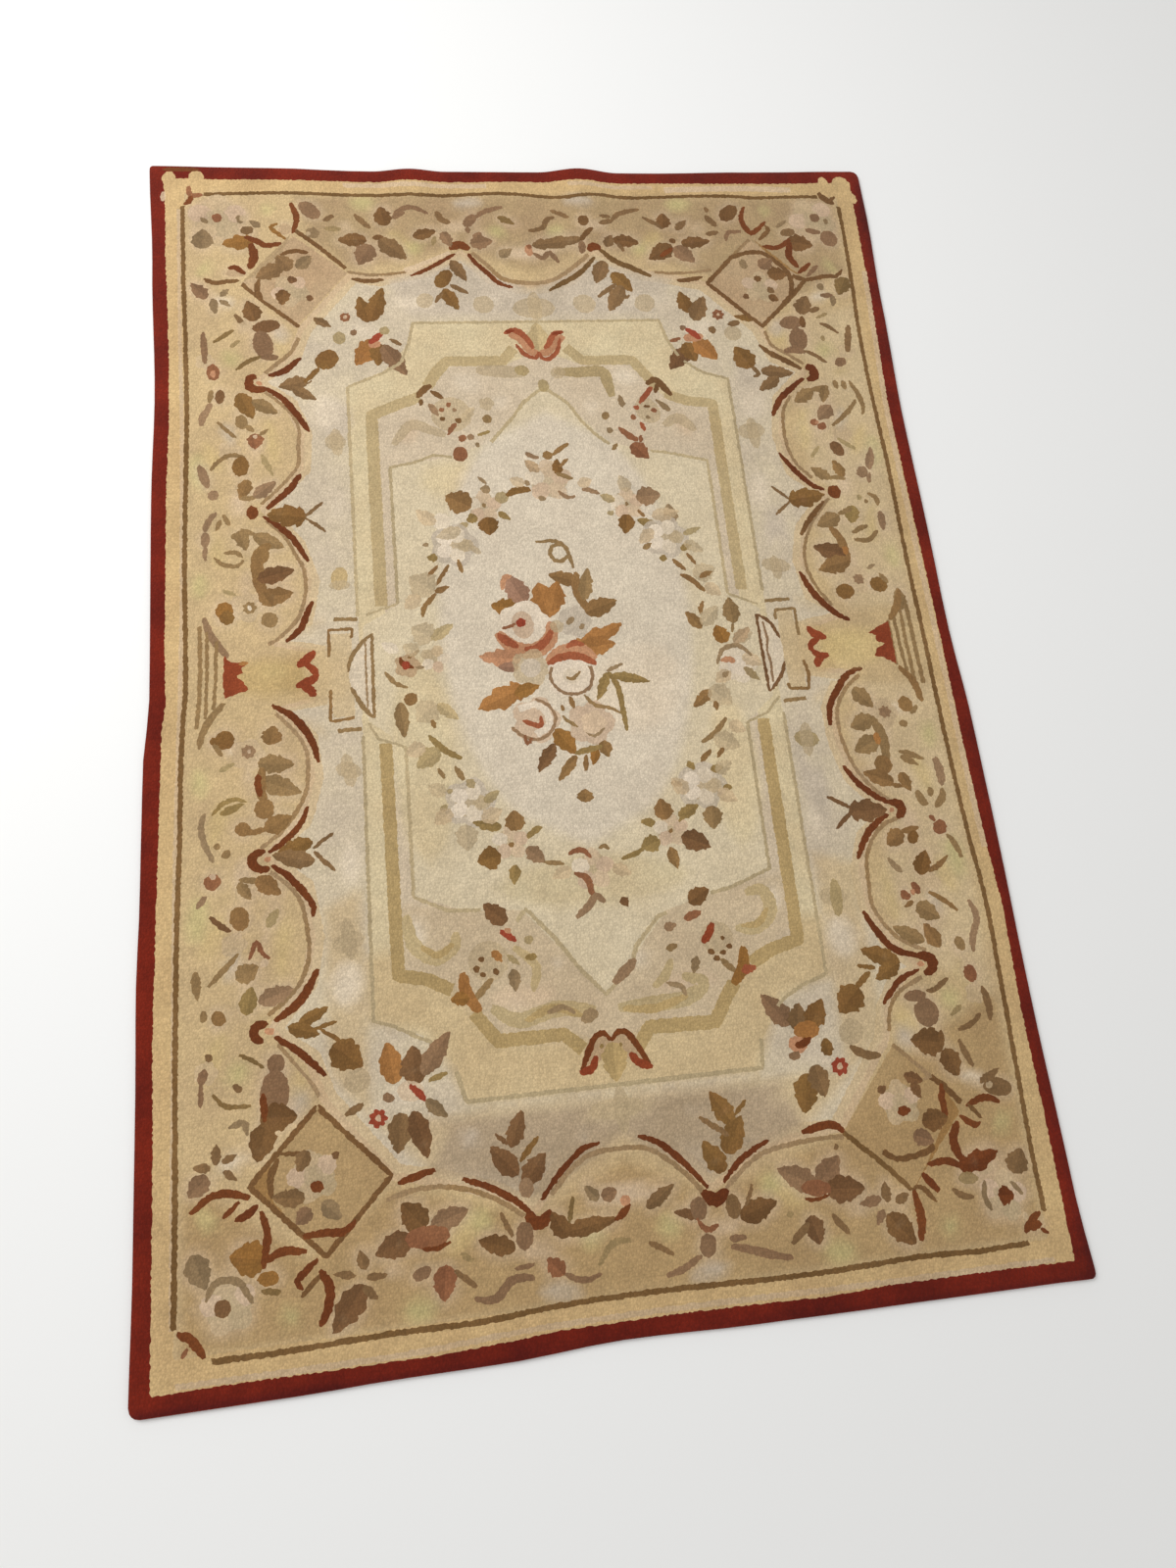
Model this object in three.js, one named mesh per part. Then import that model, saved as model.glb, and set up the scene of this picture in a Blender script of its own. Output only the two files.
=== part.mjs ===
// A small hand-stitched wool rug, lying on the floor. Millimetres, +Z up.
// The origin is on the floor, under the middle of the rug's outline. +X runs across the rug and +Y along it.
//
// The rug is one piece of closely stitched wool with its edge turned under, so it is one solid: a thin mat
// with a rounded rim and four differently rounded corners. Its sides aren't straight. They draw in a little
// at the waist, as a hand-worked rug's do, and the far end lifts off the floor in two short ripples.

import * as THREE from 'three';

// Driving dimensions
const WIDTH = 1228;
const LENGTH = 1838;
const THICKNESS = 5;
const RIM_INSET = 1.6; // how far the flat faces stop short of the outline, where the rim rounds over
const RIM_HEIGHT = 0.45; // height of the rim's outermost line, as a share of the thickness
const SIDE_REACH = 260; // how far in from an edge its own unevenness is felt
const GRID_STEP = 44; // spacing of the mesh lines away from the corners

// Each side's unevenness: how far the edge lies in from the outline's box, at places along the side
const LEFT_SIDE = [
  { at: -919, inward: 1 },
  { at: -760, inward: 3.5 },
  { at: -560, inward: 3.5 },
  { at: -430, inward: 2 },
  { at: -300, inward: 5 },
  { at: -130, inward: 6 },
  { at: -20, inward: 13.5 },
  { at: 300, inward: 12 },
  { at: 470, inward: 15 },
  { at: 720, inward: 8.5 },
  { at: 919, inward: 2 },
];
const RIGHT_SIDE = [
  { at: -919, inward: 0 },
  { at: -820, inward: 5.5 },
  { at: -560, inward: 8 },
  { at: -300, inward: 6 },
  { at: -140, inward: 6.5 },
  { at: 40, inward: 13 },
  { at: 200, inward: 12 },
  { at: 400, inward: 13.5 },
  { at: 640, inward: 7.5 },
  { at: 820, inward: 1 },
  { at: 919, inward: 1 },
];
const NEAR_SIDE = [
  { at: -614, inward: 0 },
  { at: -420, inward: 0.5 },
  { at: -300, inward: 3 },
  { at: -180, inward: 3 },
  { at: -20, inward: 10 },
  { at: 160, inward: 5.5 },
  { at: 300, inward: 4 },
  { at: 540, inward: 2.5 },
  { at: 614, inward: 1 },
];
const FAR_SIDE = [
  { at: -614, inward: 0 },
  { at: -420, inward: 2.5 },
  { at: -260, inward: 8 },
  { at: 20, inward: 7 },
  { at: 230, inward: 8 },
  { at: 380, inward: 4 },
  { at: 614, inward: 0 },
];

// Corner radii
const CORNER_RADIUS = { farLeft: 6, farRight: 14, nearLeft: 14, nearRight: 8 };

// Ripples: ridges that start at the far edge and die away towards the middle
const RIPPLES = [
  { x: -190, halfWidth: 62, height: 6, run: 170 },
  { x: 102, halfWidth: 70, height: 9, run: 230 },
];

// A smooth step from 0 at 0 to 1 at 1
function ease(share) {
  const t = Math.min(1, Math.max(0, share));
  return t * t * (3 - 2 * t);
}

// A side's inward distance at one place along it, eased between the rows of its table
function inwardAt(side, place) {
  if (place <= side[0].at) return side[0].inward;
  for (let i = 1; i < side.length; i++) {
    if (place <= side[i].at) {
      const before = side[i - 1];
      const share = (place - before.at) / (side[i].at - before.at);
      return before.inward + (side[i].inward - before.inward) * ease(share);
    }
  }
  return side[side.length - 1].inward;
}

// How much of an edge's unevenness is left at a distance in from it
function fade(distance) {
  return 1 - ease(distance / SIDE_REACH);
}

// Moves a point inside a corner's square onto the quarter disc that rounds the corner
function roundCorner(x, y) {
  const radius = y > 0
    ? (x > 0 ? CORNER_RADIUS.farRight : CORNER_RADIUS.farLeft)
    : (x > 0 ? CORNER_RADIUS.nearRight : CORNER_RADIUS.nearLeft);
  const a = (Math.abs(x) - (WIDTH / 2 - radius)) / radius;
  const b = (Math.abs(y) - (LENGTH / 2 - radius)) / radius;
  if (a <= 0 || b <= 0) return [x, y];
  const roundX = WIDTH / 2 - radius + radius * a * Math.sqrt(1 - (b * b) / 2);
  const roundY = LENGTH / 2 - radius + radius * b * Math.sqrt(1 - (a * a) / 2);
  return [Math.sign(x) * roundX, Math.sign(y) * roundY];
}

// The place on the floor plan of a point of the even rectangle
function planPoint(x, y) {
  const [cx, cy] = roundCorner(x, y);
  const left = inwardAt(LEFT_SIDE, cy) * fade(cx + WIDTH / 2);
  const right = inwardAt(RIGHT_SIDE, cy) * fade(WIDTH / 2 - cx);
  const near = inwardAt(NEAR_SIDE, cx) * fade(cy + LENGTH / 2);
  const far = inwardAt(FAR_SIDE, cx) * fade(LENGTH / 2 - cy);
  return [cx + left - right, cy + near - far];
}

// How far the rug stands off the floor at a place
function lift(x, y) {
  let height = 0;
  for (const ripple of RIPPLES) {
    const across = 1 - ease(Math.abs(x - ripple.x) / ripple.halfWidth);
    const along = 1 - ease((LENGTH / 2 - y) / ripple.run);
    height += ripple.height * across * along;
  }
  return height;
}

// Mesh lines along one direction: close together at the ends, where the corners round, and even between
function meshLines(length, ends) {
  const half = length / 2;
  const near = ends.map((inset) => -half + inset);
  const far = ends.map((inset) => half - inset).reverse();
  const first = near[near.length - 1];
  const steps = Math.round((far[0] - first) / GRID_STEP);
  const middle = Array.from({ length: steps - 1 }, (_, i) => first + ((i + 1) * (far[0] - first)) / steps);
  return [...near, ...middle, ...far];
}

function rugGeometry() {
  const ends = [RIM_INSET, 5, 14];
  const columns = meshLines(WIDTH, ends);
  const rows = meshLines(LENGTH, ends);
  const positions = [];
  const index = [];

  // Adds a vertex over a point of the even rectangle, at a height within the rug's thickness
  function addVertex(x, y, height) {
    const [px, py] = planPoint(x, y);
    positions.push(px, py, lift(px, py) + height);
    return positions.length / 3 - 1;
  }

  const topFace = rows.map((y) => columns.map((x) => addVertex(x, y, THICKNESS)));
  const underFace = rows.map((y) => columns.map((x) => addVertex(x, y, 0)));
  for (let r = 0; r + 1 < rows.length; r++) {
    for (let c = 0; c + 1 < columns.length; c++) {
      const top = [topFace[r][c], topFace[r][c + 1], topFace[r + 1][c + 1], topFace[r + 1][c]];
      const under = [underFace[r][c], underFace[r][c + 1], underFace[r + 1][c + 1], underFace[r + 1][c]];
      index.push(top[0], top[1], top[2], top[0], top[2], top[3]);
      index.push(under[0], under[2], under[1], under[0], under[3], under[2]);
    }
  }

  // The rim: one line of vertices round the outline, joined to both faces
  const lastColumn = columns.length - 1;
  const lastRow = rows.length - 1;
  const around = [
    ...columns.slice(0, -1).map((_, c) => [0, c]),
    ...rows.slice(0, -1).map((_, r) => [r, lastColumn]),
    ...columns.slice(1).map((_, c) => [lastRow, lastColumn - c]),
    ...rows.slice(1).map((_, r) => [lastRow - r, 0]),
  ];
  const outermost = (line, i) => (i === 0 ? line[0] - RIM_INSET : i === line.length - 1 ? line[i] + RIM_INSET : line[i]);
  const rim = around.map(([r, c]) => addVertex(outermost(columns, c), outermost(rows, r), THICKNESS * RIM_HEIGHT));
  around.forEach(([r, c], i) => {
    const next = (i + 1) % around.length;
    const [nr, nc] = around[next];
    const [top, topNext] = [topFace[r][c], topFace[nr][nc]];
    const [under, underNext] = [underFace[r][c], underFace[nr][nc]];
    index.push(rim[i], rim[next], topNext, rim[i], topNext, top);
    index.push(under, underNext, rim[next], under, rim[next], rim[i]);
  });

  const geometry = new THREE.BufferGeometry();
  geometry.setAttribute('position', new THREE.Float32BufferAttribute(positions, 3));
  geometry.setIndex(index);
  geometry.computeVertexNormals();
  return geometry;
}

const wool = new THREE.MeshStandardMaterial({ color: 0xcdb98f, roughness: 0.95, metalness: 0 });
const rug = new THREE.Mesh(rugGeometry(), wool);
rug.name = 'rug';

const part = new THREE.Group();
part.add(rug);

export default part;
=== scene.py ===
"""A small hand-stitched wool rug with a flower design, lying flat, in metres and +Z up.

The rug's design is drawn as marks, each a leaf, petal, stroke or patch of one wool, laid over one another in
the order in which they are listed. Their edges are cut into the rug's own mesh, so each wool has its own
faces. Places are in millimetres on the rug's plan, measured from its middle: +X right, +Y to the far end.
"""
import math

import bmesh
import bpy
import numpy as np
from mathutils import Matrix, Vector, noise
from mathutils.geometry import delaunay_2d_cdt


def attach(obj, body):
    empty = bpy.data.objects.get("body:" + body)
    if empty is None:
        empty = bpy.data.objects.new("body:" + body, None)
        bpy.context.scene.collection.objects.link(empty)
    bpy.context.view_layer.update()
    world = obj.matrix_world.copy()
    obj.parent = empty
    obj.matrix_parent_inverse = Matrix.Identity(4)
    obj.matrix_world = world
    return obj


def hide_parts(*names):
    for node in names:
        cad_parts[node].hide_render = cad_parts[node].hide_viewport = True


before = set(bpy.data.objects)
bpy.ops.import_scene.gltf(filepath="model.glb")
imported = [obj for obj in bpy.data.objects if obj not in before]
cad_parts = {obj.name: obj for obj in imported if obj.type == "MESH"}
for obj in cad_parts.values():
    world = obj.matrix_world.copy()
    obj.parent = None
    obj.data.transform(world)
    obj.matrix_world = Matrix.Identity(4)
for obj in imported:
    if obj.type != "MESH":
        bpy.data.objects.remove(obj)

MM = 0.001
SEED = 7

# The sheet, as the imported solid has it. Sizes are in millimetres, up to the wool's material
THICKNESS = 5.0
HALF_LENGTH = 919
RIPPLES = (  # x of the crest, half width, height, and run in from the far end
    (-190, 62, 6.0, 170),
    (102, 70, 9.0, 230),
)

# Outlines
PATH_STEP = 6.0  # spacing of the points along a stroke
ARC_STEP = 12.0  # the same along a curve of even width
LEAST_SHARE = 0.02  # how narrow a leaf's ends are, as a share of its width
STROKE_END = 0.4  # the same for a stroke's ends

# An open flower, in shares of its size
FLOWER_BED = 0.85  # width of the patch behind the petals
PETAL_WIDTH = 0.38
PETAL_START = 0.08  # how far a petal starts from the middle
PETAL_END = 0.52
ROSE_HEART = 0.42  # width of the patch in the middle of a faded rose

# Stitching
STITCH = 3.2  # spacing of the steps along a mark's edge
LEAST_STEPS = 5  # how many steps the smallest mark has
EDGE_STEP = 0.95  # how far a step stands in or out
GRID = 12.5  # spacing of the mesh inside the marks
FEATHER = 20.0  # width over which a soft patch fades in

# Soft patches under and on the leaves of the border and the field
HALO = 14.0  # how far a pale patch goes beyond its leaf or flower
HALO_LEAF = 12  # the border's leaves and petals that are wider than this have one
TIP_LEAF = 22  # leaves of at least this width have a patch of another tone
TIP_PART = ((0.6, 0.8), (0.25, 0.5))  # where that patch starts and ends along the leaf, in turn
TIP_SHARE = 0.6  # its width, as a share of the leaf's
TIP_WOOLS = ("faded", "rosy", "shade")  # its wool, in turn

# Light and dark in one mark
TONE = 0.06  # how far one mark's wool differs from the next one's
GRADE = 0.16  # how much lighter a leaf's tip can be than its base
BACK_GRADE = -0.4  # how much darker it can be, as a share of that
FOLD = 0.1  # how much lighter or darker each of a leaf's halves is
FOLD_WIDTH = 13  # leaves wider than this have two halves

# The edge, rounded over and turned under
EDGE_SPACING = 8.0  # spacing of the points along it
RIM = (  # how far in from the outline, and how high
    (1.6, 5.0), (0.8, 4.75), (0.2, 3.9), (0.0, 2.3), (0.25, 1.1), (0.9, 0.3), (1.8, 0.0),
)
HEM = 26.0  # width of the hem
HEM_STEP = 2.0  # width of the step from the hem to the backing
HEM_HEIGHT = 0.8  # height of that step
UNDER_GRID = 22.0  # spacing of the mesh on the underside

# The mesh
ROW_SHARE = 0.87  # spacing of the grid's rows, as a share of the points' spacing
UNEVEN = 0.15  # how far a point leaves its place in the grid, as a share of the spacing
RELIEF = 0.35  # unevenness of the face
RELIEF_SPAN = 55.0  # width of one rise or hollow in it
SNAP = 0.001  # points on the plan that are this close become one
WELD = 1e-5  # points of the mesh that are this close become one, in metres
SAME = 1e-6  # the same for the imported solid
TINY = 1e-9  # the least length that anything is divided by

# Wools. Columns: the dye's usual colour and the one that it drifts to, as sRGB, and the share of what lies
# under it that it hides
WOOLS = {
    "red": ((124, 36, 18), (100, 27, 15), 1),
    "tan": ((208, 177, 127), (197, 165, 118), 1),
    "peach": ((206, 179, 143), (199, 170, 133), 1),
    "guard": ((127, 95, 57), (111, 81, 45), 1),
    "ground": ((203, 176, 131), (193, 166, 125), 1),
    "dusk": ((172, 146, 108), (166, 138, 104), 0.85),
    "straw": ((208, 183, 128), (200, 174, 120), 0.7),
    "arcline": ((152, 121, 82), (160, 132, 98), 1),
    "gold": ((191, 163, 111), (184, 156, 106), 0.85),
    "wine": ((115, 62, 30), (103, 52, 24), 1),
    "rust": ((122, 69, 34), (110, 58, 28), 1),
    "field": ((210, 193, 163), (202, 185, 160), 1),
    "lilac": ((198, 182, 162), (190, 174, 152), 0.8),
    "honey": ((205, 180, 138), (198, 172, 132), 0.8),
    "cream": ((214, 196, 158), (209, 188, 149), 1),
    "ivory": ((221, 206, 182), (217, 201, 177), 1),
    "thread": ((186, 166, 128), (178, 158, 122), 1),
    "strap": ((193, 171, 128), (185, 161, 118), 1),
    "brown": ((146, 112, 69), (136, 101, 62), 1),
    "umber": ((134, 99, 54), (124, 88, 48), 1),
    "taupe": ((149, 120, 80), (140, 111, 73), 1),
    "mauve": ((152, 121, 90), (143, 112, 82), 1),
    "plum": ((124, 90, 58), (114, 80, 50), 1),
    "ochre": ((150, 107, 55), (140, 97, 48), 1),
    "orange": ((166, 116, 66), (156, 106, 57), 1),
    "rose": ((146, 98, 66), (136, 88, 59), 1),
    # a darker red, painted as shade along the rim's edges that face away from the light
    "maroon": ((88, 22, 20), (72, 17, 16), 1),
    "crimson": ((160, 74, 50), (147, 63, 42), 1),
    "salmon": ((192, 141, 105), (183, 131, 96), 1),
    "blush": ((212, 186, 154), (205, 178, 146), 0.8),
    "pearl": ((222, 205, 180), (214, 196, 170), 0.9),
    "olive": ((152, 126, 78), (143, 116, 70), 1),
    "sage": ((168, 146, 102), (160, 137, 95), 0.9),
    "ash": ((156, 130, 96), (148, 122, 89), 1),
    "mist": ((188, 166, 130), (180, 158, 124), 0.75),
    "smoke": ((141, 109, 79), (131, 99, 71), 1),
    "bark": ((134, 103, 68), (124, 94, 61), 1),
    "bronze": ((124, 90, 54), (113, 79, 46), 1),
    "flint": ((145, 120, 87), (136, 111, 79), 1),
    "lichen": ((155, 131, 90), (146, 122, 82), 0.9),
    "moss": ((134, 107, 66), (125, 98, 59), 1),
    "bone": ((200, 175, 139), (191, 165, 129), 0.8),
    "petal": ((207, 180, 151), (198, 169, 140), 0.9),
    "clay": ((188, 160, 124), (181, 151, 116), 1),
    "oat": ((206, 181, 138), (200, 174, 131), 0.85),
    "caramel": ((162, 124, 76), (152, 114, 68), 1),
    "sand": ((199, 169, 121), (191, 160, 113), 1),
    "amber": ((178, 147, 102), (171, 140, 97), 0.85),
    "haze": ((176, 154, 127), (168, 146, 118), 0.85),
    "wheat": ((210, 187, 148), (204, 180, 141), 0.7),
    "lime": ((199, 186, 130), (191, 177, 122), 0.75),
    "halo": ((209, 184, 152), (203, 176, 147), 0.5),
    "bisque": ((209, 190, 162), (203, 183, 155), 1),
    "fawn": ((204, 182, 148), (196, 173, 140), 0.85),
    "brass": ((183, 156, 107), (175, 148, 100), 1),
    "ember": ((164, 94, 62), (152, 82, 53), 1),
    "brick": ((146, 70, 40), (132, 59, 33), 1),
    "milk": ((215, 198, 166), (210, 192, 159), 1),
    "snow": ((229, 212, 189), (220, 202, 178), 1),
    "dusky": ((160, 122, 98), (150, 111, 87), 1),
    "faded": ((186, 160, 124), (176, 150, 114), 0.5),
    "rosy": ((172, 130, 102), (162, 120, 92), 0.55),
    "shade": ((110, 80, 50), (100, 71, 43), 0.5),
    "backing": ((176, 156, 124), (168, 148, 118), 1),
}


# Outlines of marks
def ribbon(path, half_widths):
    """The outline of a band along a path, with its own half width at each point."""
    path = np.asarray(path, float)
    ahead = np.gradient(path, axis=0)
    ahead /= np.maximum(np.linalg.norm(ahead, axis=1, keepdims=True), TINY)
    side = np.column_stack([-ahead[:, 1], ahead[:, 0]]) * np.asarray(half_widths)[:, None]
    return np.vstack([path + side, (path - side)[::-1]])


def smooth_path(points, step=PATH_STEP):
    """A Catmull-Rom curve through the points."""
    knots = [np.asarray(p, float) for p in points]
    if len(knots) < 3:
        return straight_path(knots, step)
    knots = [2 * knots[0] - knots[1], *knots, 2 * knots[-1] - knots[-2]]
    path = []
    for before, start, end, after in zip(knots, knots[1:], knots[2:], knots[3:]):
        slope = end - before
        bend = 2 * before - 5 * start + 4 * end - after
        twist = 3 * start - before - 3 * end + after
        for t in np.arange(0, 1, 1 / max(2, round(np.linalg.norm(end - start) / step))):
            path.append(0.5 * (2 * start + slope * t + bend * t**2 + twist * t**3))
    return np.array([*path, knots[-2]])


def straight_path(points, step=PATH_STEP):
    """The points joined by straight lines, with points added along them."""
    knots = [np.asarray(p, float) for p in points]
    path = []
    for start, end in zip(knots, knots[1:]):
        for t in np.arange(0, 1, 1 / max(1, round(np.linalg.norm(end - start) / step))):
            path.append(start + (end - start) * t)
    return np.array([*path, knots[-1]])


def along(base, tip, width, profile, steps):
    """A mark on the straight line from its base to its tip, as wide along it as its profile says."""
    t = np.linspace(0, 1, steps)
    path = np.outer(1 - t, base) + np.outer(t, tip)
    return ribbon(path, width / 2 * np.maximum(profile(t), LEAST_SHARE))


def toothed(skew, fullness, teeth, first, start, change):
    """How wide a leaf is along its length: a bow, on which each tooth or lobe widens or narrows."""
    def profile(t):
        bow = np.sin(math.pi * t**skew) ** fullness
        return bow * (start + change * ((teeth * t + first) % 1))
    return profile


def leaf(width, base, tip):
    """A pointed leaf, with teeth that point ahead."""
    profile = toothed(skew=0.75, fullness=0.8, teeth=3.4, first=0.1, start=1.22, change=-0.32)
    return along(base, tip, width, profile, steps=22)


def oval(width, start, end):
    """A petal or bud with round ends."""
    return along(start, end, width, lambda t: np.sqrt(np.maximum(1 - (2 * t - 1) ** 2, 0)), steps=14)


def lobed(width, base, tip):
    """A scrolled leaf with three lobes on each side."""
    profile = toothed(skew=0.7, fullness=0.7, teeth=3, first=0.25, start=0.62, change=0.38)
    return along(base, tip, width, profile, steps=25)


def stroke(width, *points):
    """A curved stroke that thins towards its ends."""
    path = smooth_path(points)
    t = np.linspace(0, 1, len(path))
    return ribbon(path, width / 2 * (STROKE_END + (1 - STROKE_END) * np.sin(math.pi * t) ** 0.5))


def arc(width, *points):
    """A curved line of even width."""
    path = smooth_path(points, ARC_STEP)
    return ribbon(path, np.full(len(path), width / 2))


def line(width, *points):
    """A line of straight stretches, of even width."""
    path = straight_path(points)
    return ribbon(path, np.full(len(path), width / 2))


def round_mark(width, centre, bumps, depth, steps):
    """A round mark with bumps along its edge, whose depth is a share of its radius."""
    turn = np.linspace(0, 2 * math.pi, steps, endpoint=False)
    reach = width / 2 * (1 - depth + depth * np.abs(np.cos(bumps * turn / 2)))
    return np.asarray(centre, float) + np.column_stack([reach * np.cos(turn), reach * np.sin(turn)])


def bloom(width, centre):
    """A round flower."""
    return round_mark(width, centre, bumps=5, depth=0.22, steps=30)


def star(width, centre):
    """A round flower with more and deeper bumps."""
    return round_mark(width, centre, bumps=7, depth=0.3, steps=28)


def inset(outline, distance):
    """An outline that runs anticlockwise, moved in."""
    outline = np.asarray(outline, float)
    ahead = np.roll(outline, -1, axis=0) - np.roll(outline, 1, axis=0)
    ahead /= np.linalg.norm(ahead, axis=1, keepdims=True)
    return outline + np.column_stack([-ahead[:, 1], ahead[:, 0]]) * distance


def area(_, *points):
    """An area with its outline given."""
    return np.asarray(points, float)


def cloud(width, start, end):
    """A soft oval, which fades out towards its edge."""
    return oval(width, start, end)


def wash(_, *points):
    """A soft area."""
    return np.asarray(points, float)


def each(shape, wool, *rows):
    """Marks of one shape and wool, each with its own width and points."""
    return [(shape, wool, *row) for row in rows]


def blossom(size, centre, turn=0.3, wools=("petal", "blush", "pearl", "petal", "blush")):
    """The marks of an open flower, with a petal of each wool."""
    centre = np.asarray(centre, float)
    marks = [(bloom, "mist", size * FLOWER_BED, centre)]
    for index, wool in enumerate(wools):
        angle = turn + index * 2 * math.pi / len(wools)
        reach = size * np.array([math.cos(angle), math.sin(angle)])
        start = centre + PETAL_START * reach
        end = centre + PETAL_END * reach
        marks.append((oval, wool, size * PETAL_WIDTH, start, end))
    return marks


def pale_flower(centre, size=58, bed=76):
    """The marks of a large pale flower and the wider patch behind it."""
    return [(bloom, "lilac", bed, centre),
            *blossom(size, centre, turn=10, wools=("snow", "pearl", "mist", "pearl", "snow"))]


def rosette(size, centre, turn=0.3):
    """The marks of a faded rose, which blends into its ground."""
    return [*blossom(size, centre, turn, ("petal", "bone", "petal", "bone", "mist")),
            (bloom, "mist", size * ROSE_HEART, centre)]


# The tables of marks. Columns: shape, wool, width, and then the points. A leaf, a lobed leaf, an oval and
# a cloud have their base and tip, a bloom and a star their middle, and a stroke, an arc and a line their
# path. An area and a wash have their outline, and don't use the width. Rows that follow one another with the
# same shape and wool are given by each().

# The inner edge of the red band, on the left, near, right and far sides
LEFT_BAND = [(-590, 893), (-586, 830), (-585, 740), (-581, 640), (-578, 540), (-577, 440), (-580, 300),
             (-580, 60), (-578, -30), (-583, -70), (-585, -200), (-588, -350), (-590, -480), (-588, -640),
             (-588, -896)]
NEAR_BAND = [(-500, -895), (-250, -896), (-180, -893), (-100, -888), (60, -888), (150, -890), (250, -893),
             (380, -888), (587, -893)]
RIGHT_BAND = [(588, -700), (587, -560), (592, -420), (586, -300), (584, -150), (584, 0), (582, 150),
              (580, 300), (578, 480), (584, 600), (589, 700), (591, 790), (593, 893)]
FAR_BAND = [(450, 889), (250, 888), (130, 887), (0, 890), (-100, 888), (-250, 887), (-400, 891), (-500, 891)]

# The field's edge, as scallops between cusps that point outwards
FIELD_EDGE = [
    (-298, -690), (-240, -704), (-165, -730), (-118, -752), (-72, -702), (-30, -684), (0, -682), (40, -690),
    (80, -722), (112, -752), (166, -722), (230, -702), (300, -698), (385, -590), (396, -548), (420, -514),
    (452, -491), (420, -450), (397, -400), (394, -350), (410, -305), (452, -262), (408, -205), (394, -150),
    (392, -100), (412, -68), (440, -42), (376, -30), (374, 32), (436, 50), (396, 92), (388, 150), (400, 200),
    (448, 264), (400, 314), (390, 375), (400, 440), (450, 496), (404, 530), (384, 590), (300, 680),
     (245, 695),
    (185, 706), (112, 748), (60, 694), (20, 680), (-20, 680), (-60, 697), (-112, 748), (-172, 714),
    (-250, 697), (-300, 700), (-380, 598), (-396, 550), (-452, 498), (-405, 450), (-386, 400), (-388, 345),
    (-446, 275), (-400, 206), (-382, 150), (-392, 92), (-434, 52), (-374, 34), (-374, -32), (-430, -46),
    (-392, -95), (-386, -150), (-402, -208), (-450, -258), (-402, -310), (-392, -375), (-402, -430),
    (-448, -490), (-400, -536), (-380, -590),
]

# The panel's edge
PANEL = [(-309, -492), (-250, -516), (-205, -560), (-196, -604), (200, -604), (208, -565), (250, -512),
         (311, -490), (311, 484), (255, 505), (222, 545), (207, 602), (-200, 602), (-212, 560), (-250, 512),
         (-307, 486)]

# The edge of the pale ground in the panel's middle
HEART_EDGE = [(-249, -330), (-180, -358), (-104, -362), (0, -488), (98, -380), (180, -358), (254, -334),
              (254, -112), (300, -72), (310, 0), (300, 72), (254, 100), (254, 337), (172, 352), (98, 372),
              (0, 488), (-90, 378), (-152, 354), (-249, 338), (-249, 106), (-300, 74), (-312, 0), (-300, -72),
              (-249, -116)]

# The edge of the ground inside the panel's straps
STRAP_EDGE = [(-268, 104), (-268, -104), (-268, -430), (-206, -455), (-178, -484), (-148, -526), (-60, -526),
              (0, -556), (54, -528), (148, -530), (180, -482), (206, -456), (272, -430), (272, 432),
              (200, 452), (186, 470), (165, 498), (148, 518), (70, 518), (0, 548), (-60, 518), (-148, 520),
              (-170, 500), (-190, 470), (-200, 455), (-265, 428)]

# The ground: the bands, the border inside them, the field and the panel, each over the last
GROUND = [
    # Painted shade: darker red along the right and near edges, where the rounded rim turns away from the
    # light
    (wash, "maroon", 0, (598, -930), (598, 900), (640, 900), (640, -930)),
    (wash, "maroon", 0, (-630, -902), (630, -902), (630, -940), (-630, -940)),
    (area, "tan", 0, *LEFT_BAND, *NEAR_BAND, *RIGHT_BAND, *FAR_BAND),
    (oval, "tan", 24, (-538, 880), (-537, 909)),
    (oval, "tan", 22, (-584, 880), (-578, 906)),
    (oval, "blush", 9, (-589, 866), (-590, 845)),
    *each(oval, "tan", (17, (543, 882), (544, 905)), (34, (560, 884), (592, 893)),
          (12, (592, 870), (596, 846))),
    (oval, "rust", 9, (-592, 911), (-530, 911)),
    *each(arc, "peach",
          (6, (-565, 830), (-562, 600), (-558, 420), (-557, 100), (-560, -90), (-564, -330), (-564, -830)),
          (9, (586, 700), (580, 560), (574, 420), (575, 200), (578, 0), (580, -180), (583, -330)),
          (7, (-560, -890), (-300, -890), (-120, -882), (80, -882), (300, -886), (560, -888))),
    (arc, "blush", 9, (-300, 880), (-180, 879), (-60, 880)),
    (arc, "blush", 12, (250, 874), (380, 878), (480, 876)),
    (arc, "peach", 8, (80, 880), (160, 879), (230, 879)),
    (area, "ground", 0, (-556, 862), (-551, 480), (-550, 0), (-557, -100), (-561, -350), (-562, -860),
     (0, -860), (556, -862), (561, -700), (562, -560), (568, -420), (563, -300), (558, -60), (555, 300),
     (553, 500), (560, 700), (563, 860), (300, 861), (80, 854), (0, 862), (-300, 861)),
    (area, "peach", 0, *FIELD_EDGE),
    (area, "wheat", 0, *inset(FIELD_EDGE, 10)),
    (area, "field", 0, *inset(FIELD_EDGE, 22)),
    (area, "cream", 0, *PANEL),
]

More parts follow.
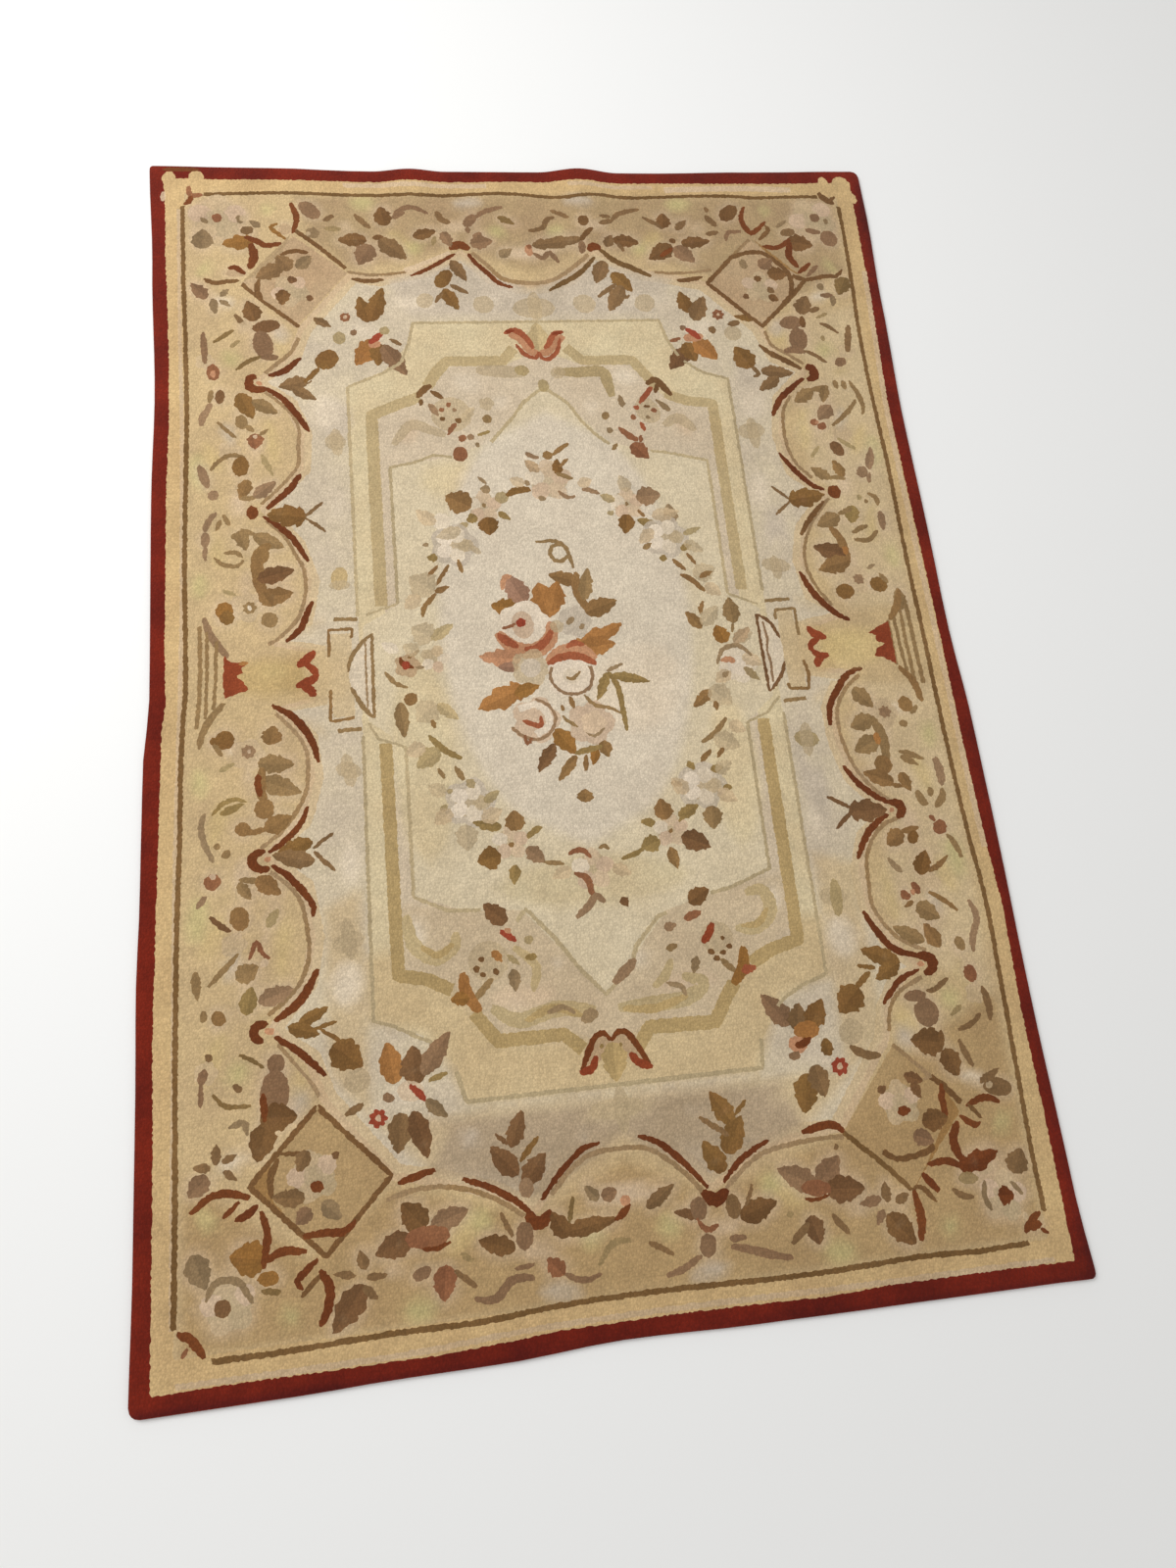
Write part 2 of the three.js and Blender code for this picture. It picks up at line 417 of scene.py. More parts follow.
# The brown line between the tan band and the border
GUARDS = [
    *each(arc, "guard",
          (7, (-559, 836), (-557, 700), (-553, 560), (-551, 420), (-553, 200), (-551, 0), (-554, -55),
           (-557, -120), (-558, -230), (-561, -350), (-562, -500), (-561, -700), (-562, -829)),
          (7, (563, 840), (562, 760), (559, 680), (554, 577), (553, 470), (556, 300), (555, 150), (557, 0),
           (558, -150), (562, -300), (568, -410), (565, -540), (562, -640), (559, -740), (559, -828)),
          (7, (-526, 860), (-400, 864), (-320, 861), (-200, 858), (-120, 860), (-40, 865), (30, 859),
           (80, 853), (130, 859), (200, 857), (300, 861), (370, 861), (410, 858), (470, 860), (528, 861)),
          (7, (-518, -868), (-430, -868), (-300, -865), (-200, -866), (-100, -860), (0, -859), (100, -861),
           (200, -864), (270, -864), (380, -862), (450, -865), (529, -864))),
]

# Soft spots in one quarter of the rug, which are mirrored into the others
MOTTLES = [
    (cloud, "pearl", 60, (-350, 480), (-336, 400)),
    (cloud, "pearl", 44, (-335, 320), (-330, 240)),
    (cloud, "field", 50, (-350, 200), (-336, 110)),
    (cloud, "pearl", 50, (-310, 600), (-240, 575)),
    *each(cloud, "blush", (44, (-480, 310), (-470, 250)), (26, (-450, 405), (-446, 345)),
          (24, (-508, 492), (-512, 450)), (30, (-462, 180), (-470, 120))),
    (cloud, "pearl", 26, (-500, 118), (-478, 92)),
    (cloud, "pearl", 34, (-470, 640), (-520, 655)),
    (cloud, "straw", 46, (-430, 590), (-402, 540)),
    (cloud, "straw", 40, (-530, 560), (-500, 480)),
    *each(cloud, "blush", (36, (-150, 800), (-90, 790)), (40, (-60, 745), (40, 735)),
          (30, (-320, 800), (-280, 790))),
    *each(cloud, "straw", (50, (-240, 790), (-180, 730)), (40, (-530, 400), (-500, 330)),
          (36, (-430, 440), (-420, 330)), (40, (-520, 250), (-500, 170))),
    *each(bloom, "bone", (50, (-467, 112)), (36, (-488, 376)), (32, (-524, 536))),
    *each(cloud, "lime", (46, (-540, 380), (-530, 300)), (44, (-500, 560), (-470, 520)),
          (40, (-530, 180), (-535, 120)), (50, (-200, 770), (-180, 730)), (46, (-300, 845), (-240, 842)),
          (44, (-70, 800), (-30, 770)), (50, (-540, 720), (-510, 700)), (40, (-440, 840), (-410, 820))),
    *each(cloud, "lilac", (44, (-420, 610), (-400, 560)), (40, (-130, 840), (-60, 850)),
          (36, (-500, 430), (-480, 380))),
]

# Larger soft patches, where the border, the field or the panel is darker, paler or more golden
WASHES = [
    # Partly painted shade where the light falls off, partly the far end's own darker ground
    (wash, "dusk", 0, (-400, 868), (560, 868), (560, 700), (460, 640), (300, 690), (112, 744), (0, 690),
     (-112, 744), (-300, 700), (-360, 760)),
    # Partly painted shade where the light falls off, partly the near end's own darker, warmer ground
    (wash, "amber", 0, (-562, -640), (-400, -760), (-300, -690), (-112, -744), (0, -690), (112, -744),
     (300, -690), (420, -590), (562, -520), (562, -868), (-562, -868)),
    (wash, "honey", 0, (-380, -560), (-380, -330), (-310, -300), (-310, -610), (310, -610), (310, -300),
     (390, -330), (390, -580), (250, -700), (-250, -700)),
    (wash, "lilac", 0, (-250, 690), (-210, 606), (210, 606), (250, 690), (110, 735), (0, 676), (-110, 735)),
    (wash, "haze", 0, (-225, -617), (225, -617), (260, -690), (110, -745), (0, -680), (-110, -745),
     (-260, -690)),
    (wash, "oat", 0, (-330, -500), (-250, -520), (-200, -620), (200, -620), (250, -520), (330, -500),
     (330, -400), (120, -370), (0, -500), (-120, -370), (-330, -400)),
    (wash, "wheat", 0, (400, 600), (450, 500), (395, 380), (440, 270), (390, 150), (440, 50), (560, 60),
     (565, 640)),
    (wash, "wheat", 0, (440, -50), (395, -150), (450, -260), (395, -380), (450, -490), (560, -560),
     (570, -60)),
    *each(cloud, "pearl", (46, (-250, 645), (-150, 640)), (46, (250, 645), (150, 640)),
          (34, (-110, 640), (-40, 645)), (34, (110, 640), (40, 645))),
    (cloud, "lilac", 70, (-330, 470), (-330, 380)),
    (cloud, "wheat", 40, (-60, -642), (60, -636)),
    *each(cloud, "lilac", (36, (-210, -640), (-180, -660)), (36, (90, -640), (110, -655)),
          (30, (-60, -668), (-40, -660))),
    *each(cloud, "wheat", (36, (200, -640), (230, -650)), (70, (-388, 90), (-372, 62)),
          (70, (-388, -90), (-372, -62)), (70, (388, 90), (372, 62)), (70, (388, -90), (372, -62))),
    *each(cloud, "lilac", (60, (345, 560), (345, 400)), (60, (350, 260), (345, 130)),
          (60, (330, -120), (350, -300))),
]

# The lines and strokes along the field's edge, with a curl at each cusp
SCALLOPS = [
    *each(arc, "arcline",
          (5.5, (-434, 478), (-411, 457), (-393, 434), (-384, 410), (-386, 380), (-386, 351), (-393, 336),
           (-414, 310), (-443, 281)),
          (6, (-437, 254), (-411, 228), (-396, 198), (-383, 169), (-381, 142), (-384, 119), (-393, 92),
           (-416, 66), (-436, 52)),
          (6, (-428, -54), (-402, -83), (-387, -113), (-386, -145), (-390, -175), (-408, -207), (-428, -230),
           (-452, -248)),
          (6, (-440, -281), (-411, -307), (-397, -336), (-391, -389), (-399, -424), (-416, -448),
           (-446, -471)),
          (5, (-434, -509), (-408, -542), (-394, -560), (-384, -580)),
          (7, (-380, 577), (-393, 550), (-408, 536), (-434, 512)),
          (5.5, (412, 451), (397, 428), (391, 401), (390, 369), (393, 345), (403, 319), (424, 295)),
          (5.5, (444, 257), (415, 222), (397, 192), (388, 163), (388, 133), (400, 98), (418, 69)),
          (6, (441, -48), (415, -69), (397, -98), (393, -128), (397, -160), (406, -190), (424, -222),
           (450, -248)),
          (6, (462, -275), (435, -284), (412, -307), (400, -334), (397, -365), (396, -400), (412, -433),
           (435, -456), (464, -471)),
          (6, (450, -507), (412, -524), (394, -548), (388, -576)),
          (6, (388, 580), (394, 551), (418, 533), (445, 512)),
          (5.5, (-300, 704), (-260, 698), (-216, 701), (-201, 706))),
    (arc, "blush", 9, (-207, 706), (-172, 721), (-131, 742)),
    *each(arc, "arcline",
          (8, (-95, 742), (-72, 718), (-48, 689), (-10, 680), (19, 680), (49, 692), (78, 715), (102, 736)),
          (6, (212, 700), (260, 698), (312, 704)),
          (6.5, (-305, -713), (-272, -705), (-237, -705), (-200, -713), (-163, -731), (-134, -752)),
          (6.5, (-98, -731), (-72, -705), (-42, -688), (-1, -685), (34, -690), (61, -708), (87, -734),
           (100, -752)),
          (6.5, (131, -749), (166, -722), (199, -709), (260, -703), (300, -704))),
    *each(stroke, "wine", (11, (-434, 485), (-411, 469), (-390, 442), (-377, 419), (-369, 405)),
          (11, (-384, 331), (-399, 307), (-416, 290), (-435, 273)),
          (10, (-441, 261), (-416, 242), (-396, 219), (-376, 182)),
          (10, (-372, 118), (-381, 98), (-390, 75), (-412, 55)),
          (11, (-433, -41), (-408, -57), (-390, -78), (-378, -101), (-371, -130)),
          (9, (-387, -193), (-399, -219), (-422, -242), (-442, -254)),
          (10, (-438, -272), (-416, -289), (-396, -313), (-383, -335), (-386, -347)),
          (12, (-438, -480), (-411, -462), (-396, -445), (-381, -417)),
          (10, (-438, -499), (-411, -518), (-390, -538), (-375, -555)),
          (11, (-429, 508), (-404, 516), (-378, 540)),
          (11, (440, 484), (423, 472), (406, 457), (391, 442), (375, 413)),
          (10, (375, 343), (388, 322), (406, 298), (423, 281), (440, 273))),
    (stroke, "bronze", 9, (436, 252), (418, 234), (403, 216), (387, 193)),
    *each(stroke, "wine", (11, (375, 130), (388, 98), (406, 72), (425, 53), (443, 43)),
          (11, (448, -37), (423, -45), (400, -72), (385, -98), (381, -127)),
          (10, (390, -190), (406, -216), (427, -237), (452, -254)),
          (11, (445, -268), (424, -281), (406, -298), (387, -332)),
          (11, (381, -407), (397, -439), (418, -465), (452, -478)),
          (9, (448, -496), (418, -507), (403, -521), (386, -538))),
    (stroke, "bronze", 11, (373, 552), (388, 536), (412, 521), (440, 502)),
    (stroke, "wine", 8, (-199, 695), (-175, 706), (-151, 721), (-122, 740)),
    (stroke, "wine", 9, (-101, 741), (-92, 724), (-72, 701), (-54, 680), (-32, 671)),
    (stroke, "guard", 10, (29, 664), (49, 677), (78, 695), (96, 712), (112, 732)),
    (stroke, "guard", 11, (121, 749), (146, 724), (175, 709), (206, 691)),
    *each(stroke, "wine", (9, (-209, -699), (-175, -713), (-142, -734), (-118, -757)),
          (8, (-111, -736), (-86, -708), (-54, -681), (-28, -675)),
          (9, (22, -672), (49, -684), (75, -708), (107, -746)),
          (8, (128, -742), (152, -719), (175, -706), (197, -697))),
    (stroke, "rust", 15, (-446, 506), (-456, 505), (-457, 488), (-444, 482), (-432, 485)),
    (oval, "rust", 17, (-457, 280), (-455, 256)),
    (stroke, "rust", 13, (-446, -251), (-462, -257), (-463, -269), (-452, -277), (-440, -276)),
    (stroke, "wine", 13, (-446, -480), (-462, -485), (-463, -498), (-452, -504)),
    (stroke, "wine", 17, (446, 504), (457, 504), (459, 487), (446, 480)),
    (oval, "rust", 22, (455, 281), (457, 256)),
    (stroke, "rust", 15, (449, -250), (466, -256), (467, -267), (458, -275)),
    (stroke, "wine", 16, (448, -476), (468, -482), (468, -496), (455, -503)),
    *each(stroke, "rust", (17, (-131, 749), (-115, 758), (-98, 749)),
          (17, (102, 744), (113, 753), (124, 748)), (16, (-133, -751), (-115, -763), (-100, -749))),
    (stroke, "wine", 18, (98, -750), (115, -762), (132, -751)),
    *each(oval, "salmon", (8, (-448, 497), (-438, 492)), (10, (-450, -489), (-438, -494)),
          (8, (-447, -262), (-438, -265)), (8, (448, -262), (456, -264)), (8, (446, -488), (458, -490))),
]

# Sprays and patches of the field, between the scallops and the panel
FIELD_SPRAYS = [
    (lobed, "umber", 44, (-377, 257), (-436, 264)),
    (stroke, "bark", 6, (-379, 258), (-352, 282)),
    (stroke, "bark", 6, (-379, 256), (-348, 231)),
    (lobed, "umber", 42, (377, 256), (439, 265)),
    (stroke, "bark", 6, (352, 283), (379, 258)),
    (stroke, "bark", 6, (352, 231), (379, 254)),
    (leaf, "umber", 22, (-382, -243), (-430, -256)),
    (leaf, "bark", 24, (-380, -272), (-438, -258)),
    (stroke, "bark", 6, (-382, -253), (-354, -233)),
    (stroke, "bark", 7, (-382, -257), (-353, -287)),
    (lobed, "plum", 42, (386, -260), (446, -262)),
    (stroke, "plum", 7, (356, -235), (390, -255)),
    (stroke, "plum", 7, (362, -285), (392, -259)),
    (leaf, "bark", 24, (-368, 497), (-414, 487)),
    (leaf, "bark", 18, (-394, 486), (-356, 462)),
    (stroke, "bark", 7, (-352, 515), (-375, 492), (-362, 498)),
    (oval, "umber", 33, (-324, 551), (-352, 521)),
    (stroke, "umber", 9, (-350, 520), (-374, 494)),
    (leaf, "bark", 23, (368, 500), (425, 494)),
    (leaf, "bark", 20, (398, 487), (360, 462)),
    (stroke, "bark", 8, (351, 514), (364, 494), (354, 490)),
    *each(leaf, "umber", (36, (354, 506), (330, 548)), (16, (-408, -486), (-368, -468)),
          (19, (-421, -488), (-380, -502))),
    (stroke, "umber", 6, (-390, -495), (-357, -487)),
    (stroke, "umber", 6, (-381, -495), (-349, -516)),
    *each(leaf, "umber", (38, (-366, -517), (-328, -548)), (25, (422, -484), (366, -460)),
          (22, (420, -484), (382, -504))),
    (stroke, "umber", 7, (385, -488), (358, -482)),
    (stroke, "umber", 10, (375, -492), (350, -514)),
    (leaf, "umber", 38, (356, -512), (322, -544)),
    (oval, "mist", 30, (-345, 392), (-315, 380)),
    (oval, "mist", 20, (-330, 410), (-326, 360)),
    (oval, "gold", 24, (-330, 172), (-334, 134)),
    *each(oval, "mist", (16, (-348, 142), (-316, 142)), (30, (312, 384), (358, 388)),
          (20, (336, 412), (340, 352)), (24, (315, 148), (362, 138)), (18, (336, 160), (340, 118)),
          (24, (-348, -140), (-312, -150)), (20, (-334, -120), (-326, -170)),
          (26, (-360, -390), (-318, -380)), (20, (-342, -352), (-336, -410))),
    (oval, "sage", 26, (322, -140), (360, -148)),
    (oval, "mist", 20, (342, -118), (340, -172)),
    (oval, "mist", 26, (320, -380), (362, -384)),
    (oval, "sage", 18, (346, -356), (344, -412)),
    *each(oval, "mist", (40, (-36, 630), (36, 630)), (24, (0, 662), (4, 604)), (26, (-40, -636), (36, -634)),
          (20, (4, -606), (6, -668)), (30, (-190, 652), (-165, 640)), (34, (-95, 650), (-70, 625)),
          (36, (70, 650), (100, 625)), (36, (175, 650), (200, 625))),
    (leaf, "bark", 20, (-130, 727), (-107, 684)),
    (oval, "umber", 25, (-134, 706), (-156, 672)),
    (leaf, "umber", 22, (-146, 670), (-124, 627)),
    (stroke, "bark", 8, (-148, 662), (-161, 642)),
    (stroke, "bark", 9, (-135, 677), (-106, 660)),
    (leaf, "bark", 26, (127, 724), (109, 678)),
    (leaf, "umber", 26, (138, 700), (170, 661)),
    (leaf, "bark", 26, (153, 674), (126, 621)),
    (stroke, "bark", 9, (109, 650), (144, 678)),
    (stroke, "bark", 7, (154, 646), (164, 654)),
    (leaf, "plum", 22, (-144, -668), (-126, -623)),
    (leaf, "plum", 26, (-138, -702), (-171, -664)),
    (stroke, "plum", 7, (-164, -649), (-148, -664)),
    (stroke, "umber", 8, (-108, -658), (-134, -686)),
    (leaf, "plum", 26, (-131, -714), (-101, -679)),
    (oval, "mauve", 19, (-130, -706), (-127, -731)),
    (leaf, "umber", 25, (151, -672), (125, -627)),
    (leaf, "umber", 29, (136, -708), (164, -662)),
    (stroke, "umber", 7, (173, -643), (154, -661)),
    (stroke, "bark", 8, (107, -658), (144, -686)),
    (leaf, "umber", 26, (131, -730), (107, -688)),
    (oval, "sage", 20, (-318, 588), (-316, 564)),
    *each(oval, "mist", (30, (330, 590), (332, 560)), (30, (-352, -570), (-318, -560)),
          (34, (318, -580), (350, -560))),
]

# Flower groups in the four corners of the field
FIELD_CORNERS = [
    (leaf, "umber", 24, (-271, 605), (-284, 657)),
    (leaf, "umber", 28, (-267, 606), (-245, 673)),
    (star, "rose", 19, (-307, 616)),
    (oval, "blush", 7, (-309, 617), (-304, 615)),
    (oval, "smoke", 13, (-298, 590), (-291, 582)),
    (leaf, "bark", 14, (-357, 614), (-328, 597)),
    (leaf, "orange", 34, (-258, 572), (-294, 524)),
    (leaf, "umber", 26, (-256, 566), (-258, 522)),
    (leaf, "smoke", 28, (-250, 562), (-214, 503)),
    (oval, "salmon", 14, (-272, 562), (-252, 565)),
    (stroke, "crimson", 11, (-271, 566), (-262, 572), (-249, 585)),
    (oval, "sage", 15, (-250, 582), (-241, 596)),
    (stroke, "bark", 8, (-238, 573), (-219, 561)),
    (leaf, "umber", 25, (262, 617), (249, 661)),
    (leaf, "bark", 28, (267, 601), (291, 651)),
    (star, "rose", 23, (311, 613)),
    (oval, "blush", 8, (308, 613), (314, 613)),
    (oval, "bark", 13, (294, 590), (299, 575)),
    (stroke, "bark", 11, (325, 592), (347, 598)),
    (leaf, "umber", 13, (373, 602), (338, 610)),
    (leaf, "plum", 28, (250, 547), (214, 506)),
    (leaf, "umber", 28, (246, 558), (261, 520)),
    (leaf, "orange", 32, (262, 563), (298, 524)),
    (oval, "salmon", 17, (244, 566), (280, 570)),
    (stroke, "crimson", 12, (251, 586), (262, 577), (274, 565)),
    (stroke, "rose", 7, (220, 560), (241, 567)),
    (oval, "smoke", 12, (242, 590), (250, 584)),
    (leaf, "orange", 29, (-287, -574), (-296, -519)),
    (leaf, "plum", 34, (-262, -578), (-262, -528)),
    (leaf, "smoke", 25, (-252, -566), (-213, -514)),
    (oval, "blush", 26, (-285, -580), (-250, -590)),
    (stroke, "crimson", 9, (-269, -577), (-260, -586), (-249, -599)),
    (oval, "smoke", 12, (-304, -586), (-289, -594)),
    (stroke, "olive", 8, (-244, -575), (-219, -566)),
    (stroke, "bark", 10, (-352, -606), (-328, -594)),
    (star, "crimson", 25, (-311, -614)),
    (oval, "blush", 9, (-315, -614), (-307, -614)),
    (leaf, "bark", 29, (-281, -610), (-288, -660)),
    (leaf, "plum", 26, (-266, -609), (-250, -670)),
    (leaf, "flint", 16, (-250, -598), (-222, -622)),
    (leaf, "smoke", 28, (250, -554), (214, -508)),
    (leaf, "bark", 26, (258, -562), (265, -524)),
    (leaf, "umber", 28, (276, -560), (300, -522)),
    (oval, "orange", 24, (252, -562), (290, -562)),
    (oval, "salmon", 22, (243, -575), (268, -584)),
    (stroke, "rust", 11, (252, -580), (262, -580), (276, -572)),
    (oval, "smoke", 12, (241, -593), (258, -594)),
    (leaf, "umber", 17, (297, -599), (295, -574)),
    (star, "crimson", 26, (310, -614)),
    (oval, "blush", 10, (306, -614), (314, -614)),
    (stroke, "bark", 12, (328, -590), (350, -603), (370, -606)),
    (leaf, "umber", 32, (263, -618), (251, -670)),
    (leaf, "bark", 27, (274, -608), (283, -652)),
]

# Diamonds in the corners of the border, with the flower inside each
DIAMONDS = [
    (area, "clay", 0, (-385, 776), (-300, 702), (-385, 596), (-468, 682)),
    (area, "dusk", 0, (-388, 780), (-405, 740), (-440, 700), (-466, 686)),
    (line, "bronze", 8, (-381, 787), (-346, 756), (-302, 711)),
    (line, "bronze", 7, (-467, 682), (-440, 653), (-411, 627), (-379, 598)),
    (stroke, "bronze", 9, (-406, 738), (-384, 746), (-361, 742)),
    (stroke, "bronze", 10, (-440, 691), (-444, 671), (-436, 650)),
    (leaf, "bark", 28, (-402, 716), (-446, 692)),
    (leaf, "bark", 27, (-390, 708), (-412, 738)),
    (leaf, "flint", 21, (-380, 711), (-356, 737)),
    *rosette(62, (-391, 668), 0.9),
    (leaf, "plum", 14, (-396, 689), (-379, 689)),
    (leaf, "bronze", 22, (-402, 670), (-405, 640)),
    (leaf, "plum", 11, (-367, 655), (-354, 652)),
    (area, "clay", 0, (388, 768), (301, 677), (385, 589), (476, 683)),
    (area, "caramel", 0, (396, 768), (416, 738), (446, 706), (468, 692)),
    (line, "arcline", 6, (388, 768), (353, 733)),
    (line, "bronze", 8, (353, 733), (326, 703), (301, 677), (332, 645), (365, 609), (385, 589), (412, 615),
     (450, 653), (476, 683), (454, 692)),
    (arc, "bronze", 9, (351, 730), (376, 739), (406, 740), (429, 721), (447, 698), (450, 674), (444, 650),
     (430, 634)),
    *rosette(64, (392, 668), 0.2),
    (leaf, "smoke", 24, (398, 708), (422, 728)),
    (leaf, "bronze", 27, (410, 696), (447, 696)),
    (oval, "flint", 14, (368, 726), (372, 706)),
    (star, "bronze", 16, (391, 686)),
    (leaf, "bark", 12, (406, 668), (416, 655)),
    (leaf, "bronze", 15, (405, 650), (422, 640)),
    (leaf, "plum", 11, (361, 654), (370, 645)),
    (area, "amber", 0, (-387, -591), (-297, -684), (-381, -769), (-472, -678)),
    (area, "caramel", 0, (-472, -678), (-446, -652), (-446, -694), (-410, -742), (-381, -769)),
    (line, "bronze", 7, (-387, -591), (-297, -684), (-343, -731), (-381, -769), (-472, -678), (-387, -591)),
    (stroke, "bronze", 9, (-436, -648), (-446, -670), (-445, -695)),
    (stroke, "bronze", 6, (-436, -643), (-404, -646)),
    (stroke, "rust", 10, (-409, -743), (-380, -742), (-358, -743), (-343, -731)),
    *rosette(64, (-394, -674), 0.6),
    (leaf, "bark", 20, (-404, -699), (-446, -694)),
    (leaf, "smoke", 20, (-398, -712), (-417, -728)),
    (leaf, "flint", 20, (-384, -706), (-361, -728)),
    (oval, "rust", 14, (-398, -686), (-381, -688)),
    (leaf, "bark", 19, (-402, -642), (-412, -668)),
    (oval, "plum", 10, (-370, -650), (-362, -655)),
    (area, "amber", 0, (391, -592), (300, -698), (383, -780), (470, -680)),
    (area, "caramel", 0, (449, -653), (446, -696), (410, -748), (384, -780), (468, -690)),
    (line, "arcline", 6, (390, -593), (435, -640)),
    (line, "bronze", 8, (435, -640), (450, -652), (472, -679)),
    (line, "guard", 7, (300, -699), (353, -749), (380, -780)),
    (stroke, "rust", 10, (449, -652), (446, -672), (447, -697)),
    (arc, "bronze", 8, (350, -728), (368, -740), (406, -737), (423, -729)),
    *rosette(60, (386, -670), 0.4),
    (leaf, "rust", 13, (380, -682), (400, -680)),
    *each(leaf, "plum", (11, (357, -653), (370, -647)), (15, (398, -635), (424, -646)),
          (13, (408, -645), (416, -668))),
    (stroke, "arcline", 6, (424, -643), (438, -640)),
    (leaf, "bronze", 28, (412, -697), (450, -696)),
    (leaf, "smoke", 22, (396, -712), (424, -724)),
]

